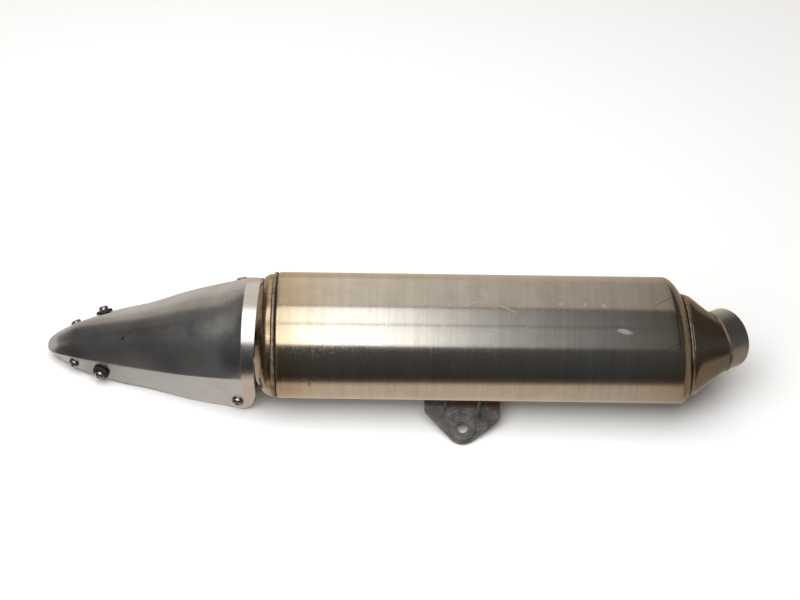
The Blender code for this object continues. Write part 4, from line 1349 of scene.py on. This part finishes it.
def stage_panels():
    """Two soft light panels above the muffler with a narrow gap between them, fading toward both ends."""
    towards = Vector((0, -math.cos(PANEL_ANGLE), math.sin(PANEL_ANGLE)))
    across = Vector((0, math.sin(PANEL_ANGLE), math.cos(PANEL_ANGLE)))
    middle = REST.translation + towards * PANEL_DISTANCE
    shape = bmesh.new()
    for low, high in ((PANEL_EDGES[0], -PANEL_GAP), (PANEL_GAP, PANEL_EDGES[1])):
        start = Vector((PANEL_ENDS[0], middle.y, middle.z))
        edges = line(shape, [start + across * low, start + across * high], False)[1]
        made = bmesh.ops.extrude_edge_only(shape, edges=edges)["geom"]
        bmesh.ops.translate(shape, verts=fresh_verts(made), vec=(PANEL_ENDS[1] - PANEL_ENDS[0], 0, 0))
    material = bpy.data.materials.new("light_panel")
    material.use_nodes = True
    tree = material.node_tree
    tree.nodes.clear()
    place = add(tree, "ShaderNodeTexCoord").outputs["Object"]
    place = add(tree, "ShaderNodeSeparateXYZ", {0: place}).outputs
    low, high = PANEL_ENDS
    stops = [((spot - low) / (high - low), level) for spot, level in PANEL_FADE]
    level = grey_ramp(tree, slope(tree, place["X"], low, high), stops)
    level = scale_colour(tree, level, slope(tree, place["Z"], 0.46, 0.76, 1.2, 0.82))
    shade = scale_colour(tree, (1.0, 0.985, 0.96, 1), level)
    glow = add(tree, "ShaderNodeEmission", {"Color": shade, "Strength": PANEL_POWER})
    add(tree, "ShaderNodeOutputMaterial", {"Surface": glow.outputs[0]})
    made = show("light_panels", shape)
    made.data.materials.append(material)
    made.visible_camera = False
    made.visible_shadow = False


def stage_world():
    """Studio surroundings: dark toward the front, warm pale walls behind and below, pale to the eye."""
    world = bpy.data.worlds.new("studio")
    bpy.context.scene.world = world
    world.use_nodes = True
    tree = world.node_tree
    tree.nodes.clear()
    way = add(tree, "ShaderNodeSeparateXYZ",
              {0: add(tree, "ShaderNodeTexCoord").outputs["Generated"]}).outputs
    # Angles in degrees above the level that faces the muffler from the hanger's side
    front = times(tree, way["Y"], -1.0)
    angle = times(tree, calc(tree, "ARCTAN2", way["Z"], front), 180 / math.pi)
    shifted = calc(tree, "SUBTRACT", angle, slope(tree, way["X"], -0.72, -0.42, 80.0, 0.0))
    upper = span(tree, shifted, 103.0, 108.0)
    raised = calc(tree, "SUBTRACT", angle, slope(tree, way["X"], -0.1, 0.15, 0.0, 9.0))
    raised = plus(tree, raised, slope(tree, way["X"], -0.48, -0.28, 24.0, 0.0))
    lower = span(tree, raised, -55.0, -42.0, 1.0, 0.0)
    edge = times(tree, span(tree, raised, -42.0, -32.0, 1.0, 0.0), span(tree, raised, -60.0, -48.0))
    deep = slope(tree, angle, -45.0, 40.0, 0.030, 0.085)
    left = grey_ramp(tree, slope(tree, way["X"], -1.0, 0.0), [
        (0.0, 0.0), (0.25, 0.01), (0.40, 0.05), (0.50, 0.085), (0.58, 0.085), (0.70, 0.0)])
    level = plus(tree, deep, left)
    base = scale_colour(tree, (1.0, 0.97, 0.94, 1), level)
    upper_level = grey_ramp(tree, slope(tree, way["X"], -0.5, 0.5), [
        (0.0, 0.40), (0.12, 0.48), (0.30, 0.86), (0.47, 0.88), (0.53, 0.66), (0.58, 0.50), (0.66, 0.32),
        (0.78, 0.26), (1.0, 0.07)])
    upper_shade = scale_colour(tree, (1.0, 0.90, 0.79, 1), upper_level)
    lower_level = grey_ramp(tree, slope(tree, way["X"], -0.5, 0.5), [
        (0.0, 0.62), (0.45, 0.66), (0.58, 0.60), (0.66, 0.44), (0.78, 0.44), (1.0, 0.26)])
    lower_tint = mix(tree, span(tree, way["X"], -0.3, -0.1), (1.0, 0.95, 0.89, 1), (1.0, 0.83, 0.66, 1))
    lower_shade = scale_colour(tree, lower_tint, lower_level)
    base = mix(tree, times(tree, edge, 0.6), base, (0.13, 0.075, 0.065, 1))
    base = mix(tree, upper, base, upper_shade)
    base = mix(tree, lower, base, lower_shade)
    seen = add(tree, "ShaderNodeLightPath").outputs["Is Camera Ray"]
    base = mix(tree, seen, base, (0.98, 0.98, 0.98, 1))
    glow = add(tree, "ShaderNodeBackground", {"Color": base, "Strength": 1.0})
    add(tree, "ShaderNodeOutputWorld", {"Surface": glow.outputs[0]})


def stage_fill():
    """A broad soft light from above that lifts the floor and the matte pieces."""
    data = bpy.data.lights.new("overhead_fill", "AREA")
    data.shape = "RECTANGLE"
    data.size = 2.6
    data.size_y = 2.2
    data.energy = 70
    made = show("overhead_fill", data)
    made.location = (-0.2, -0.5, 2.2)
    made.rotation_euler = (math.radians(-13), 0, 0)
    made.visible_glossy = False
    made.visible_camera = False


# --- operators and panel -------------------------------------------------------------------------

class MakeStage(bpy.types.Operator):
    """Sets the camera, the pale floor and the soft studio lights"""
    bl_idname = "muffler.make_stage"
    bl_label = "Stage"

    def execute(self, context):
        context.scene.view_settings.view_transform = "Standard"
        stage_camera()
        stage_floor()
        stage_panels()
        stage_world()
        stage_fill()
        return {"FINISHED"}


class MakeCan(bpy.types.Operator):
    """Builds the round can with its rippled weld beads"""
    bl_idname = "muffler.make_can"
    bl_label = "Can and welds"

    def execute(self, context):
        can_body()
        weld_beads()
        return {"FINISHED"}


class MakeInlet(bpy.types.Operator):
    """Builds the inlet cone and the bare inlet pipe"""
    bl_idname = "muffler.make_inlet"
    bl_label = "Inlet"

    def execute(self, context):
        inlet_cone()
        inlet_pipe()
        return {"FINISHED"}


class MakeRear(bpy.types.Operator):
    """Builds the domed rear plate and the tailpipe"""
    bl_idname = "muffler.make_rear"
    bl_label = "Rear plate and tailpipe"

    def execute(self, context):
        rear_plate()
        tail_pipe()
        return {"FINISHED"}


class MakeInside(bpy.types.Operator):
    """Builds the tubes, the lining and the baffles inside the can"""
    bl_idname = "muffler.make_inside"
    bl_label = "Inside pieces"

    def execute(self, context):
        inside_pieces()
        return {"FINISHED"}


class MakeCover(bpy.types.Operator):
    """Builds the slipper-shaped outlet cover"""
    bl_idname = "muffler.make_cover"
    bl_label = "Outlet cover"

    def execute(self, context):
        cover_body()
        return {"FINISHED"}


class MakeFasteners(bpy.types.Operator):
    """Builds the cover's screws, nuts and rubber rings"""
    bl_idname = "muffler.make_fasteners"
    bl_label = "Cover fasteners"

    def execute(self, context):
        for row, size in FASTENERS.items():
            for side, sign in SIDES.items():
                point, normal = side_frame(size["x"], size["z"], sign)
                cover_screw(row, side, size, point, normal)
                cover_nut(row, side, size, point, normal)
                if row == "middle":
                    cover_grommet(side, point, normal)
        return {"FINISHED"}


class MakeBrackets(bpy.types.Operator):
    """Builds the straps that carry the cover"""
    bl_idname = "muffler.make_brackets"
    bl_label = "Cover brackets"

    def execute(self, context):
        names = {"can_end_tab_lower": "can_end_strap_lower", "can_end_tab_upper": "can_end_strap_upper",
                 "middle_bridge": "middle_strap", "nose_bridge": "nose_strap",
                 "cover_stay": "stay_strap"}
        for node, name in names.items():
            refined(node, name, "hanger_steel", cover_sizes().strap)
        return {"FINISHED"}


class MakeHanger(bpy.types.Operator):
    """Builds the hanger plate with its boss, gussets and weld"""
    bl_idname = "muffler.make_hanger"
    bl_label = "Hanger"

    def execute(self, context):
        hanger_plate()
        hanger_boss()
        hanger_gussets()
        hanger_weld()
        return {"FINISHED"}


OPERATORS = (MakeStage, MakeCan, MakeInlet, MakeRear, MakeInside, MakeCover, MakeFasteners,
             MakeBrackets, MakeHanger)


class MUFFLER_PT_workshop(bpy.types.Panel):
    """Lists the muffler's pieces, sizes and colours"""
    bl_idname = "MUFFLER_PT_workshop"
    bl_label = "Exhaust Muffler"
    bl_space_type = "VIEW_3D"
    bl_region_type = "UI"
    bl_category = "Muffler"

    def draw(self, context):
        for item in OPERATORS:
            self.layout.operator(item.bl_idname)
        scene = context.scene
        for group in (scene.muffler_can, scene.muffler_cover, scene.muffler_hanger,
                      scene.muffler_colours):
            box = self.layout.box()
            for name in group.__annotations__:
                box.prop(group, name)


CLASSES = PROPERTY_GROUPS + OPERATORS + (MUFFLER_PT_workshop,)
SCENE_GROUPS = {"muffler_can": CanSizes, "muffler_cover": CoverSizes, "muffler_hanger": HangerSizes,
                "muffler_colours": FinishColours}


def register():
    for item in CLASSES:
        bpy.utils.register_class(item)
    for name, group in SCENE_GROUPS.items():
        setattr(bpy.types.Scene, name, PointerProperty(type=group))


def unregister():
    for name in SCENE_GROUPS:
        delattr(bpy.types.Scene, name)
    for item in reversed(CLASSES):
        bpy.utils.unregister_class(item)


def main():
    register()
    for item in OPERATORS:
        getattr(bpy.ops.muffler, item.bl_idname.split(".")[1])()


if __name__ == "__main__":
    main()
